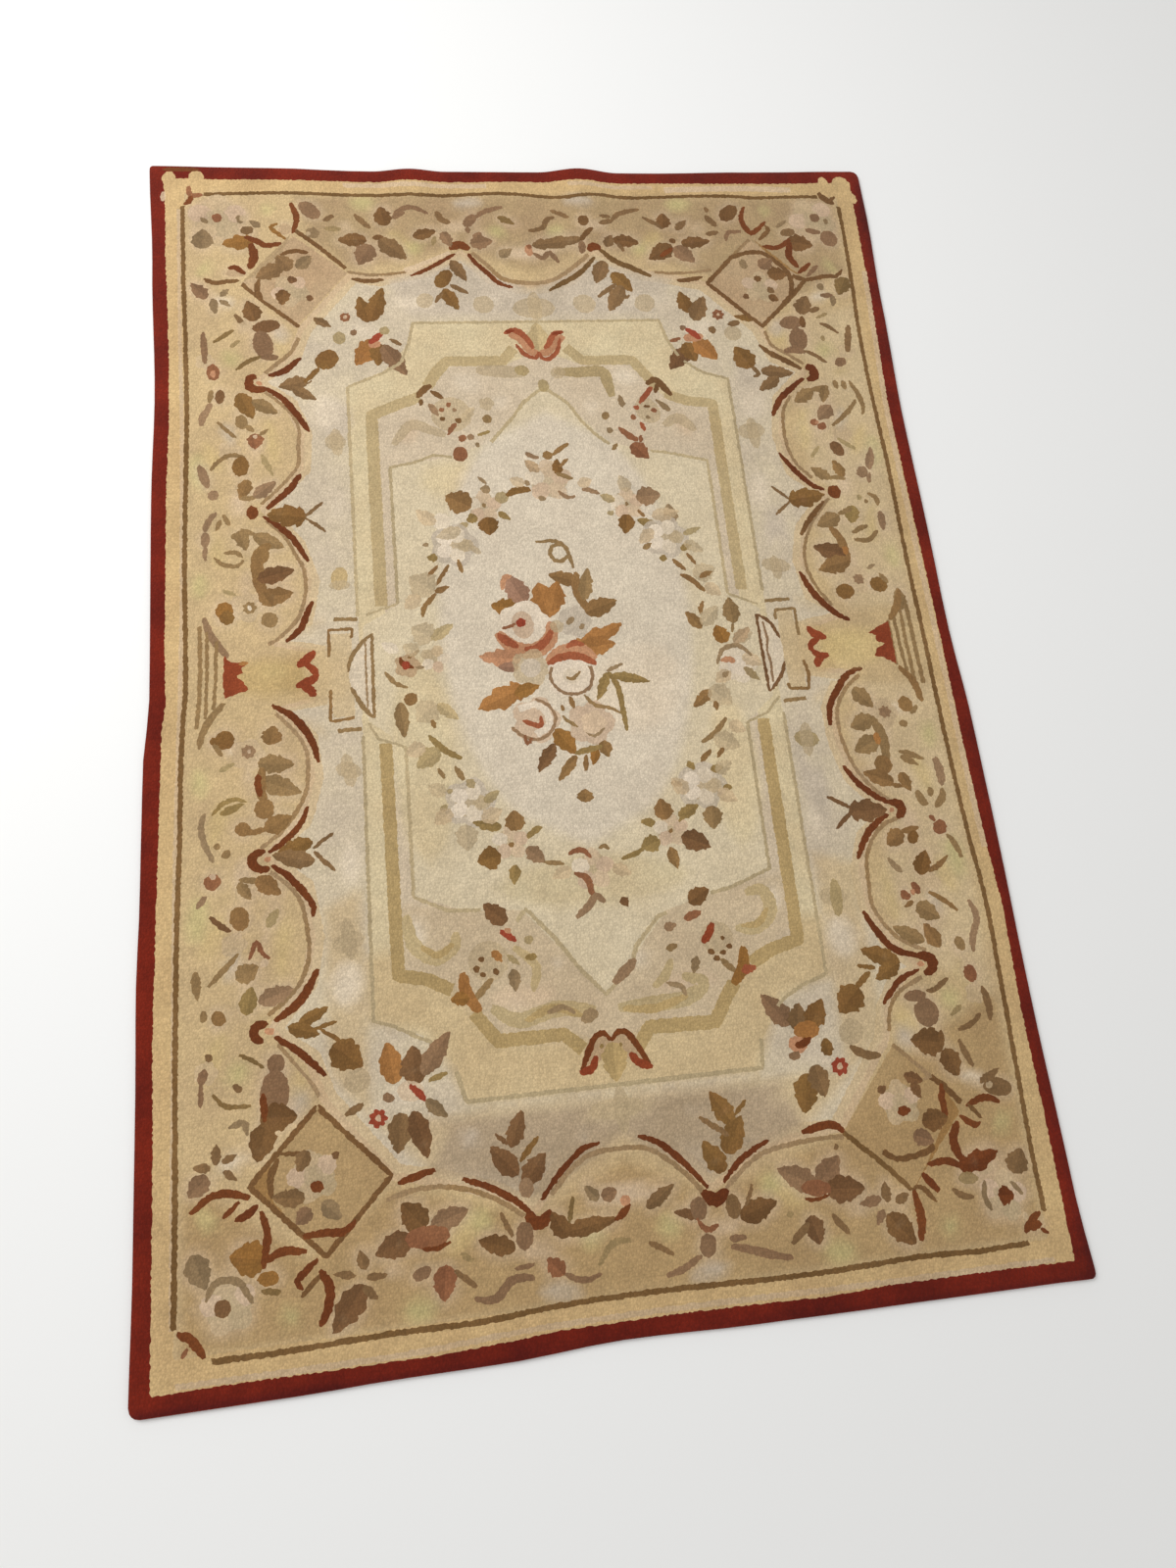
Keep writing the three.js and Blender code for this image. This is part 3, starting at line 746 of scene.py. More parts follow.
# Scrolls, roses and leaves in the four corners of the border
CORNERS = [
    *rosette(92, (-505, 812)),
    (oval, "rose", 17, (-513, 812), (-497, 813)),
    (stroke, "flint", 9, (-531, 812), (-519, 802)),
    (oval, "flint", 11, (-473, 818), (-465, 801)),
    (oval, "bone", 14, (-466, 818), (-461, 806)),
    (leaf, "flint", 12, (-436, 793), (-454, 808)),
    (leaf, "flint", 32, (-528, 750), (-527, 790)),
    (lobed, "ochre", 36, (-446, 766), (-498, 760)),
    (oval, "bark", 17, (-468, 786), (-447, 789)),
    (stroke, "rust", 11, (-462, 774), (-440, 765), (-428, 757), (-403, 761)),
    (stroke, "rust", 15, (-453, 762), (-447, 735), (-455, 710)),
    (oval, "clay", 18, (-492, 702), (-460, 705)),
    (stroke, "wine", 10, (-488, 712), (-477, 714), (-461, 701)),
    (stroke, "bronze", 9, (-526, 692), (-510, 684), (-490, 687), (-470, 688)),
    *each(leaf, "flint", (13, (-512, 654), (-508, 624)), (9, (-502, 651), (-484, 639)),
          (10, (-500, 658), (-487, 673))),
    (leaf, "smoke", 21, (-520, 654), (-546, 684)),
    (oval, "clay", 22, (-402, 780), (-392, 800)),
    (stroke, "rust", 10, (-387, 844), (-378, 812), (-385, 781)),
    (stroke, "ochre", 8, (-396, 770), (-420, 793), (-408, 801)),
    (oval, "smoke", 27, (-372, 845), (-342, 812)),
    (stroke, "bark", 10, (-335, 807), (-317, 818)),
    (stroke, "lichen", 10, (-334, 791), (-307, 790)),
    (bloom, "flint", 24, (-353, 782)),
    (oval, "bone", 9, (-364, 781), (-356, 780)),
    (leaf, "bronze", 26, (-266, 768), (-314, 768)),
    (leaf, "smoke", 33, (-260, 759), (-281, 718)),
    (oval, "bronze", 11, (-256, 771), (-238, 775)),
    (leaf, "bark", 31, (-246, 770), (-203, 729)),
    (leaf, "bronze", 28, (-235, 796), (-241, 836)),
    (stroke, "bark", 10, (-285, 821), (-272, 805), (-259, 792)),
    (stroke, "smoke", 9, (-223, 811), (-200, 823)),
    (stroke, "bronze", 9, (-294, 691), (-270, 686), (-242, 688)),
    (stroke, "rose", 10, (-550, 877), (-546, 857), (-527, 860)),
    (stroke, "rust", 10, (-557, 838), (-548, 846), (-545, 857)),
    (leaf, "bronze", 28, (-446, 610), (-459, 649)),
    (stroke, "bark", 10, (-479, 623), (-464, 604)),
    (oval, "bone", 20, (-471, 603), (-457, 598)),
    (oval, "plum", 24, (-452, 595), (-408, 604)),
    (oval, "smoke", 31, (-441, 592), (-430, 540)),
    (stroke, "smoke", 12, (-440, 542), (-412, 541)),
    (stroke, "moss", 8, (-512, 570), (-480, 594)),
    (stroke, "lichen", 8, (-485, 561), (-470, 575)),
    (stroke, "moss", 8, (-478, 519), (-460, 534), (-438, 545)),
    (stroke, "smoke", 10, (-527, 590), (-524, 532)),
    (oval, "rose", 20, (-514, 531), (-510, 500)),
    (oval, "salmon", 9, (-513, 519), (-511, 506)),
    *rosette(86, (510, 812), 0.8),
    (oval, "smoke", 18, (506, 818), (524, 811)),
    (oval, "flint", 9, (532, 813), (536, 800)),
    (stroke, "smoke", 12, (493, 788), (520, 783)),
    (oval, "smoke", 30, (526, 786), (541, 754)),
    (leaf, "bronze", 34, (456, 765), (502, 755)),
    (oval, "bark", 17, (446, 781), (474, 785)),
    (stroke, "flint", 8, (441, 794), (462, 809)),
    *each(stroke, "rust", (10, (410, 754), (432, 750), (450, 758), (462, 770)),
          (13, (461, 762), (455, 732), (468, 708)), (9, (466, 696), (491, 718))),
    (stroke, "smoke", 9, (479, 689), (503, 713)),
    (stroke, "bronze", 9, (455, 689), (475, 683), (517, 690), (533, 690), (547, 704)),
    (leaf, "moss", 27, (549, 688), (530, 650)),
    (oval, "flint", 14, (497, 674), (504, 662)),
    (oval, "smoke", 10, (496, 650), (521, 650)),
    (leaf, "flint", 11, (520, 650), (516, 627)),
    (leaf, "bark", 29, (455, 612), (472, 650)),
    (stroke, "bark", 11, (474, 617), (491, 624)),
    (stroke, "lichen", 7, (482, 604), (504, 613)),
    (stroke, "bark", 8, (486, 593), (497, 589), (517, 572)),
    (oval, "lichen", 8, (486, 568), (488, 557)),
    (stroke, "bark", 12, (537, 589), (526, 534)),
    (oval, "smoke", 17, (500, 510), (520, 520)),
    (oval, "smoke", 26, (415, 592), (456, 598)),
    (oval, "bronze", 11, (457, 608), (456, 584)),
    (oval, "smoke", 32, (446, 585), (441, 538)),
    (stroke, "smoke", 14, (414, 537), (432, 541), (452, 535)),
    (stroke, "bark", 8, (450, 539), (466, 530), (486, 514)),
    (oval, "bronze", 27, (344, 809), (374, 840)),
    (oval, "bark", 9, (317, 838), (323, 826)),
    (stroke, "bark", 12, (315, 820), (334, 796)),
    (stroke, "bark", 10, (312, 779), (336, 784)),
    (stroke, "smoke", 9, (346, 764), (353, 783), (377, 785)),
    (stroke, "rust", 10, (389, 839), (380, 812), (390, 784), (400, 784), (424, 807)),
    (stroke, "bronze", 9, (406, 767), (426, 788), (421, 798)),
    (leaf, "bronze", 31, (250, 756), (206, 727)),
    (stroke, "rust", 9, (226, 732), (250, 751)),
    (leaf, "smoke", 29, (253, 754), (285, 721)),
    (leaf, "bronze", 23, (266, 760), (318, 765)),
    (oval, "bronze", 12, (247, 762), (257, 768)),
    (leaf, "bark", 13, (260, 788), (281, 810)),
    (leaf, "bronze", 25, (239, 792), (241, 824)),
    (stroke, "bark", 8, (204, 816), (228, 799), (238, 790)),
    *each(stroke, "bronze", (9, (248, 683), (270, 684), (295, 690)), (13, (531, 871), (538, 858), (556, 845)),
          (8, (548, 851), (560, 861))),
    *rosette(66, (-498, -810), 0.5),
    (oval, "plum", 20, (-512, -804), (-498, -820)),
    (stroke, "flint", 9, (-524, -802), (-513, -783), (-487, -784), (-469, -811)),
    (leaf, "flint", 28, (-541, -748), (-524, -789)),
    (leaf, "ochre", 38, (-452, -764), (-497, -756)),
    (oval, "ochre", 17, (-464, -785), (-437, -786)),
    (stroke, "moss", 8, (-459, -798), (-436, -803)),
    *each(stroke, "rust", (10, (-459, -707), (-451, -735), (-457, -774)),
          (11, (-454, -766), (-434, -757), (-404, -760)),
          (10, (-543, -702), (-522, -686), (-499, -682), (-471, -691)), (7, (-504, -711), (-484, -694))),
    (stroke, "wine", 10, (-490, -714), (-478, -712), (-462, -700)),
    (stroke, "wine", 9, (-391, -770), (-417, -793), (-409, -802)),
    (stroke, "bronze", 7, (-413, -812), (-386, -786)),
    (stroke, "wine", 12, (-389, -783), (-378, -805), (-381, -828), (-391, -847)),
    (leaf, "smoke", 24, (-522, -660), (-546, -682)),
    *each(leaf, "bark", (12, (-512, -648), (-512, -622)), (9, (-506, -645), (-486, -638)),
          (9, (-504, -656), (-486, -669)), (11, (-518, -651), (-540, -648))),
    (leaf, "bronze", 32, (-450, -605), (-462, -650)),
    (stroke, "flint", 9, (-497, -606), (-478, -601), (-474, -617)),
    (oval, "smoke", 24, (-448, -537), (-426, -528)),
    (oval, "smoke", 36, (-438, -540), (-440, -598)),
    (leaf, "bronze", 33, (-458, -598), (-411, -600)),
    (stroke, "rust", 9, (-454, -568), (-452, -603)),
    (stroke, "moss", 6, (-483, -517), (-466, -526), (-452, -537)),
    (oval, "bark", 9, (-491, -553), (-480, -563)),
    (stroke, "moss", 7, (-516, -563), (-500, -579), (-469, -582)),
    (oval, "smoke", 12, (-526, -530), (-530, -551)),
    (stroke, "smoke", 7, (-530, -548), (-531, -578)),
    (oval, "bark", 9, (-523, -512), (-518, -522)),
    (leaf, "bronze", 31, (-258, -752), (-287, -718)),
    (leaf, "plum", 29, (-275, -760), (-322, -775)),
    (leaf, "smoke", 25, (-252, -750), (-203, -735)),
    (oval, "rose", 27, (-285, -762), (-228, -762)),
    (stroke, "rust", 6, (-265, -775), (-245, -776), (-228, -770)),
    (oval, "smoke", 15, (-278, -806), (-254, -799)),
    (leaf, "rose", 27, (-236, -796), (-241, -838)),
    (stroke, "bark", 8, (-226, -804), (-200, -826)),
    (stroke, "rust", 10, (-290, -695), (-268, -689), (-242, -684)),
    (leaf, "plum", 31, (-336, -806), (-376, -856)),
    *each(leaf, "bark", (14, (-334, -790), (-341, -767)), (9, (-346, -795), (-374, -790)),
          (9, (-334, -799), (-307, -799)), (11, (-338, -808), (-320, -826))),
    (stroke, "rust", 11, (-559, -833), (-543, -840), (-535, -850), (-526, -863)),
    (stroke, "rose", 7, (-553, -860), (-545, -850)),
    *rosette(66, (506, -802), 0.1),
    (oval, "bone", 17, (474, -768), (500, -762)),
    (leaf, "wine", 23, (499, -801), (522, -803)),
    (stroke, "flint", 7, (520, -786), (534, -804)),
    (stroke, "flint", 9, (484, -780), (480, -800), (487, -818)),
    (leaf, "bark", 30, (527, -777), (544, -746)),
    (lobed, "rust", 32, (452, -762), (512, -746)),
    (oval, "lichen", 16, (448, -774), (476, -776)),
    (stroke, "bark", 9, (437, -786), (450, -796), (466, -799)),
    *each(stroke, "rust", (13, (462, -702), (451, -725), (457, -752)),
          (10, (408, -752), (435, -750), (462, -762)), (10, (478, -684), (506, -676), (528, -684))),
    (stroke, "bronze", 7, (481, -681), (498, -703)),
    (stroke, "rust", 9, (467, -695), (485, -710), (495, -706)),
    (stroke, "wine", 11, (399, -762), (419, -787)),
    (stroke, "bronze", 7, (381, -781), (394, -778), (413, -800)),
    (stroke, "rust", 12, (383, -781), (387, -813), (382, -844)),
    (oval, "bark", 24, (507, -660), (550, -668)),
    (oval, "bone", 10, (512, -658), (522, -662)),
    (leaf, "bark", 11, (504, -656), (537, -640)),
    (leaf, "bronze", 28, (464, -606), (475, -645)),
    (stroke, "bark", 9, (486, -596), (494, -620), (500, -634)),
    (oval, "smoke", 16, (418, -531), (452, -532)),
    (oval, "smoke", 36, (444, -536), (450, -575)),
    (leaf, "bronze", 36, (465, -598), (416, -590)),
    (oval, "bronze", 9, (463, -580), (460, -602)),
    (stroke, "bark", 8, (488, -583), (510, -577), (526, -564)),
    (stroke, "lichen", 8, (482, -563), (500, -550)),
    (stroke, "bark", 8, (452, -527), (466, -525), (489, -511)),
    (oval, "rose", 20, (521, -496), (524, -521)),
    (stroke, "bark", 11, (535, -528), (540, -550), (538, -576)),
    (leaf, "smoke", 28, (254, -762), (202, -733)),
    (leaf, "smoke", 30, (254, -760), (289, -727)),
    (leaf, "plum", 32, (264, -766), (318, -771)),
    (oval, "rose", 20, (230, -760), (272, -766)),
    (stroke, "rust", 6, (233, -775), (250, -777), (268, -773)),
    (oval, "bark", 9, (284, -714), (290, -717)),
    (leaf, "bark", 13, (345, -792), (345, -764)),
    (leaf, "bark", 13, (356, -793), (376, -784)),
    (leaf, "smoke", 13, (338, -786), (306, -790)),
    (leaf, "smoke", 11, (338, -800), (325, -818)),
    (leaf, "bronze", 31, (342, -806), (374, -847)),
    (leaf, "plum", 25, (237, -795), (246, -832)),
    (stroke, "bark", 10, (208, -826), (234, -804)),
    (stroke, "bark", 9, (267, -798), (287, -824)),
    (stroke, "wine", 11, (242, -692), (285, -687), (301, -699)),
    (stroke, "rust", 11, (526, -851), (538, -838), (554, -828)),
    (oval, "rust", 13, (528, -843), (552, -843)),
    (stroke, "rust", 7, (548, -848), (560, -856)),
    (oval, "bone", 9, (527, -830), (535, -830)),
]

# Leaves and buds along the far and near ends of the border
END_ROWS = [
    (stroke, "smoke", 9, (-222, 812), (-210, 827), (-186, 832), (-162, 820)),
    (stroke, "bark", 13, (-148, 826), (-141, 810), (-126, 802)),
    (leaf, "bronze", 20, (-190, 774), (-150, 786)),
    (stroke, "lichen", 8, (-154, 775), (-158, 756)),
    (leaf, "smoke", 19, (-141, 785), (-128, 753)),
    (oval, "smoke", 18, (-103, 795), (-84, 820)),
    (stroke, "smoke", 10, (-99, 796), (-97, 782)),
    (stroke, "smoke", 10, (-86, 813), (-66, 827), (-36, 837)),
    (leaf, "moss", 13, (-46, 816), (-18, 800)),
    (leaf, "smoke", 25, (-96, 760), (-57, 766)),
    (leaf, "smoke", 15, (-88, 768), (-76, 784)),
    (leaf, "flint", 17, (-49, 733), (-27, 750)),
    (oval, "salmon", 13, (-1, 757), (4, 734)),
    (oval, "rose", 9, (-2, 755), (8, 752)),
    (lobed, "bark", 30, (8, 756), (100, 768)),
    (oval, "smoke", 13, (93, 764), (92, 738)),
    (stroke, "smoke", 10, (8, 740), (24, 730), (36, 741), (51, 720)),
    (stroke, "bark", 10, (4, 786), (28, 792), (37, 809), (52, 815)),
    (stroke, "bark", 9, (45, 829), (76, 811)),
    (oval, "bronze", 21, (90, 806), (110, 802)),
    (stroke, "bronze", 10, (92, 764), (101, 778), (115, 790)),
    *each(stroke, "bark", (10, (126, 799), (152, 808)), (9, (129, 815), (149, 815)),
          (10, (150, 808), (165, 823), (201, 833))),
    (leaf, "bark", 17, (135, 752), (146, 778)),
    (leaf, "bronze", 24, (148, 768), (193, 761)),
    (stroke, "bark", 7, (155, 761), (164, 744)),
    (leaf, "bronze", 23, (-148, -789), (-195, -773)),
    (stroke, "bark", 7, (-164, -744), (-151, -774)),
    (oval, "smoke", 23, (-134, -758), (-137, -792)),
    (leaf, "bronze", 23, (-82, -783), (-100, -751)),
    (leaf, "bronze", 20, (-88, -778), (-14, -768)),
    (stroke, "rust", 9, (-20, -770), (-8, -764), (2, -752)),
    (oval, "salmon", 14, (-9, -745), (3, -752)),
    (leaf, "flint", 14, (-37, -744), (-54, -725)),
    (leaf, "smoke", 17, (-33, -743), (-13, -734)),
    (stroke, "moss", 7, (-70, -736), (-78, -767)),
    (leaf, "bark", 17, (23, -761), (63, -736)),
    (leaf, "plum", 13, (94, -778), (58, -770)),
    (oval, "smoke", 23, (92, -755), (90, -784)),
    (stroke, "rose", 8, (87, -781), (98, -796), (115, -792)),
    (oval, "smoke", 22, (100, -800), (95, -829)),
    (stroke, "smoke", 9, (88, -825), (62, -838), (39, -843)),
    (leaf, "rose", 21, (-90, -826), (-110, -804)),
    *each(stroke, "smoke", (8, (-88, -825), (-68, -835), (-42, -831)), (7, (-151, -812), (-126, -809)),
          (11, (-204, -839), (-178, -843), (-155, -824), (-127, -824))),
    (stroke, "lichen", 9, (-45, -820), (-25, -797), (-1, -796)),
    (stroke, "bark", 8, (21, -801), (53, -820)),
    (oval, "bark", 20, (137, -756), (137, -788)),
    (leaf, "bronze", 28, (144, -787), (196, -772)),
    (stroke, "bark", 6, (154, -774), (166, -748)),
    (stroke, "smoke", 9, (126, -810), (149, -811)),
    (stroke, "smoke", 11, (127, -819), (152, -826), (178, -835), (207, -843)),
    (oval, "lichen", 7, (206, -793), (216, -789)),
    (stroke, "lichen", 8, (-217, -786), (-201, -797)),
]

# Leaves, scrolls and buds up the left and right sides of the border
SIDE_COLUMNS = [
    (oval, "taupe", 9, (-514, 484), (-518, 460)),
    (oval, "plum", 15, (-501, 484), (-503, 458)),
    (stroke, "mauve", 12, (-515, 460), (-522, 444), (-528, 433), (-530, 419)),
    (leaf, "umber", 27, (-474, 477), (-452, 430)),
    (leaf, "taupe", 21, (-454, 463), (-415, 439)),
    (oval, "taupe", 19, (-472, 438), (-468, 412)),
    (stroke, "taupe", 9, (-466, 420), (-451, 408)),
    (stroke, "taupe", 7, (-506, 426), (-492, 411), (-478, 397)),
    (leaf, "rose", 23, (-450, 404), (-450, 376)),
    (oval, "blush", 8, (-451, 402), (-449, 395)),
    (stroke, "taupe", 6, (-445, 400), (-429, 412)),
    (stroke, "taupe", 8, (-517, 341), (-503, 358), (-487, 367), (-465, 364)),
    (oval, "umber", 25, (-470, 365), (-474, 330)),
    (leaf, "sage", 9, (-442, 368), (-424, 329)),
    (oval, "mauve", 14, (-533, 352), (-520, 311)),
    (leaf, "brown", 20, (-461, 325), (-474, 290)),
    (stroke, "taupe", 9, (-475, 292), (-460, 292), (-448, 296)),
    (leaf, "mauve", 20, (-454, 293), (-420, 320)),
    (star, "mauve", 19, (-512, 299)),
    (stroke, "mauve", 10, (-508, 270), (-520, 254), (-525, 238)),
    (stroke, "taupe", 8, (-501, 258), (-509, 239)),
    (stroke, "taupe", 8, (-498, 266), (-489, 247)),
    (oval, "mauve", 13, (-524, 238), (-524, 212)),
    (stroke, "mauve", 7, (-524, 216), (-524, 189)),
    (leaf, "taupe", 20, (-476, 238), (-465, 205)),
    (oval, "taupe", 10, (-486, 226), (-476, 232)),
    (stroke, "taupe", 9, (-474, 240), (-452, 230)),
    (leaf, "taupe", 22, (-455, 230), (-410, 207)),
    (stroke, "brown", 19, (-430, 214), (-447, 200), (-450, 178), (-447, 150), (-438, 122)),
    (oval, "brown", 26, (-452, 197), (-432, 193)),
    (leaf, "plum", 26, (-450, 157), (-396, 171)),
    (leaf, "brown", 27, (-446, 124), (-399, 134)),
    (leaf, "brown", 20, (-444, 136), (-430, 112)),
    (stroke, "taupe", 7, (-511, 195), (-498, 183), (-478, 180), (-469, 190)),
    (stroke, "taupe", 8, (-498, 202), (-480, 202), (-470, 193)),
    (stroke, "sage", 7, (-499, 141), (-480, 133)),
    (oval, "ochre", 27, (-510, 112), (-485, 106)),
    (oval, "umber", 21, (-499, 108), (-488, 88)),
    (star, "taupe", 22, (-462, 112)),
    (oval, "pearl", 9, (-465, 112), (-459, 112)),
    (oval, "taupe", 24, (-446, 94), (-422, 88)),
    (stroke, "mauve", 12, (-526, 99), (-518, 74), (-506, 54), (-492, 35)),
    (oval, "taupe", 10, (492, 480), (495, 462)),
    (oval, "taupe", 10, (507, 479), (508, 460)),
    (stroke, "taupe", 9, (518, 478), (524, 464), (531, 445), (534, 424), (529, 411)),
    (stroke, "taupe", 9, (474, 391), (494, 407), (512, 425), (524, 441)),
    (leaf, "taupe", 23, (452, 461), (417, 438)),
    (stroke, "taupe", 11, (449, 461), (464, 463), (480, 467)),
    (leaf, "taupe", 17, (475, 468), (465, 436)),
    (leaf, "mauve", 25, (478, 430), (452, 403)),
    (oval, "rose", 13, (438, 396), (450, 402)),
    (oval, "rose", 14, (448, 388), (464, 394)),
    (oval, "salmon", 7, (446, 401), (452, 397)),
    (oval, "plum", 21, (468, 362), (482, 334)),
    (stroke, "sage", 8, (478, 367), (507, 346)),
    (stroke, "sage", 7, (428, 333), (445, 355)),
    (leaf, "mauve", 14, (522, 307), (533, 351)),
    (leaf, "taupe", 19, (454, 293), (423, 314)),
    (stroke, "taupe", 9, (448, 294), (464, 295), (480, 292)),
    (leaf, "brown", 18, (477, 296), (463, 327)),
    (oval, "mauve", 20, (505, 293), (515, 313)),
    (stroke, "mauve", 8, (522, 302), (517, 282)),
    (oval, "sage", 10, (492, 257), (501, 257)),
    (oval, "taupe", 8, (504, 249), (510, 249)),
    (stroke, "taupe", 9, (512, 264), (525, 254), (525, 240)),
    (leaf, "olive", 24, (481, 243), (475, 210)),
    (stroke, "taupe", 9, (456, 228), (466, 232), (480, 238)),
    (leaf, "taupe", 26, (457, 226), (417, 208)),
    (stroke, "brown", 15, (438, 206), (450, 186), (454, 168), (456, 150), (452, 134)),
    (leaf, "plum", 28, (455, 154), (404, 173)),
    (leaf, "brown", 29, (460, 146), (406, 131)),
    (oval, "orange", 10, (455, 170), (457, 156)),
    (oval, "umber", 26, (428, 90), (458, 94)),
    (star, "mauve", 20, (469, 112)),
    (oval, "umber", 26, (486, 106), (514, 97)),
    (stroke, "taupe", 8, (504, 121), (516, 103)),
    (stroke, "ash", 6, (486, 129), (501, 138)),
    (stroke, "taupe", 9, (473, 193), (488, 201), (502, 206)),
    (stroke, "taupe", 9, (474, 182), (498, 180), (517, 197)),
    (oval, "mauve", 13, (527, 232), (526, 196)),
    (leaf, "taupe", 21, (530, 56), (530, 95)),
    (oval, "umber", 26, (-500, -75), (-496, -103)),
    (oval, "umber", 13, (-518, -92), (-508, -88)),
    (stroke, "taupe", 8, (-513, -94), (-501, -113)),
    (leaf, "brown", 27, (-437, -100), (-431, -72)),
    (star, "mauve", 22, (-466, -108)),
    (oval, "blush", 8, (-468, -108), (-463, -108)),
    (leaf, "taupe", 26, (-454, -126), (-403, -131)),
    (leaf, "taupe", 27, (-452, -150), (-395, -173)),
    (stroke, "brown", 14, (-448, -132), (-450, -160), (-446, -188)),
    (stroke, "rust", 10, (-453, -142), (-454, -158), (-450, -174)),
    (oval, "brown", 29, (-460, -193), (-432, -192)),
    (leaf, "brown", 25, (-446, -222), (-408, -205)),
    (stroke, "brown", 9, (-480, -222), (-460, -224), (-440, -220)),
    (oval, "brown", 20, (-480, -228), (-470, -210)),
    (stroke, "olive", 7, (-516, -197), (-500, -180), (-483, -176), (-469, -181)),
    (leaf, "olive", 11, (-506, -196), (-471, -182)),
    (stroke, "ash", 9, (-525, -192), (-530, -213), (-525, -237), (-514, -262)),
    (oval, "taupe", 9, (-513, -238), (-505, -243)),
    (oval, "taupe", 11, (-503, -256), (-491, -249)),
    (stroke, "sage", 8, (-506, -134), (-485, -124)),
    (oval, "rose", 22, (-522, -298), (-509, -280)),
    (oval, "blush", 9, (-518, -284), (-512, -279)),
    (stroke, "mauve", 9, (-524, -307), (-536, -323)),
    (stroke, "taupe", 9, (-481, -288), (-464, -291), (-450, -292)),
    (leaf, "taupe", 15, (-482, -293), (-465, -317)),
    (leaf, "brown", 23, (-458, -288), (-426, -313)),
    (oval, "brown", 25, (-484, -325), (-477, -358)),
    (stroke, "plum", 8, (-519, -336), (-507, -347), (-492, -358)),
    (leaf, "sage", 13, (-445, -357), (-430, -331)),
    (stroke, "rose", 7, (-469, -397), (-459, -374), (-454, -386), (-442, -399)),
    (oval, "blush", 11, (-452, -408), (-446, -398)),
    (stroke, "taupe", 8, (-521, -427), (-502, -408), (-482, -387)),
    (leaf, "taupe", 25, (-486, -421), (-457, -406)),
    (leaf, "taupe", 12, (-538, -405), (-534, -445)),
    (leaf, "olive", 21, (-474, -468), (-466, -431)),
    (leaf, "mauve", 23, (-458, -453), (-412, -439)),
    (oval, "taupe", 10, (-527, -457), (-527, -472)),
    (oval, "brown", 17, (-514, -460), (-502, -478)),
    (leaf, "taupe", 24, (426, -69), (453, -102)),
    (star, "mauve", 21, (470, -110)),
    (oval, "brown", 26, (494, -104), (516, -96)),
    (stroke, "taupe", 8, (523, -103), (511, -117)),
    (oval, "taupe", 12, (489, -130), (503, -132)),
    (leaf, "taupe", 26, (450, -118), (411, -132)),
    (leaf, "taupe", 28, (452, -152), (411, -170)),
    (stroke, "taupe", 16, (447, -116), (459, -150), (459, -188)),
    (oval, "orange", 11, (450, -142), (451, -162)),
    (oval, "brown", 29, (438, -192), (466, -194)),
    (leaf, "brown", 23, (464, -222), (418, -202)),
    (stroke, "brown", 8, (458, -224), (478, -229)),
    (leaf, "brown", 17, (476, -206), (487, -238)),
    (leaf, "taupe", 10, (479, -173), (519, -189)),
    (leaf, "taupe", 11, (480, -181), (508, -198)),
    (stroke, "mauve", 14, (534, -187), (538, -208), (537, -232)),
    (stroke, "taupe", 13, (497, -236), (500, -250), (509, -260)),
    (oval, "taupe", 10, (518, -232), (516, -248)),
    (stroke, "taupe", 12, (536, -236), (534, -250), (520, -264)),
    (oval, "rose", 23, (512, -289), (530, -300)),
    (stroke, "rose", 8, (508, -275), (516, -286)),
    (stroke, "taupe", 9, (529, -306), (538, -320), (546, -343)),
    (stroke, "brown", 10, (460, -295), (474, -295), (488, -291)),
    (leaf, "brown", 25, (462, -296), (434, -315)),
    (oval, "umber", 22, (470, -302), (484, -310)),
    (leaf, "umber", 25, (476, -362), (492, -327)),
    (stroke, "brown", 9, (490, -358), (505, -352), (525, -337)),
    (stroke, "ash", 9, (433, -333), (440, -345), (450, -357)),
    (oval, "rose", 17, (444, -395), (453, -385)),
    (oval, "rose", 12, (462, -372), (470, -390)),
    (oval, "salmon", 9, (456, -388), (464, -384)),
    (stroke, "brown", 8, (444, -407), (459, -399)),
    (leaf, "taupe", 26, (461, -405), (494, -427)),
    (stroke, "brown", 8, (484, -388), (505, -402), (523, -419)),
    (stroke, "mauve", 11, (542, -404), (549, -432), (538, -455), (533, -479)),
    (leaf, "taupe", 21, (464, -458), (420, -433)),
    (leaf, "brown", 22, (485, -468), (468, -432)),
    (oval, "taupe", 16, (512, -455), (520, -475)),
]

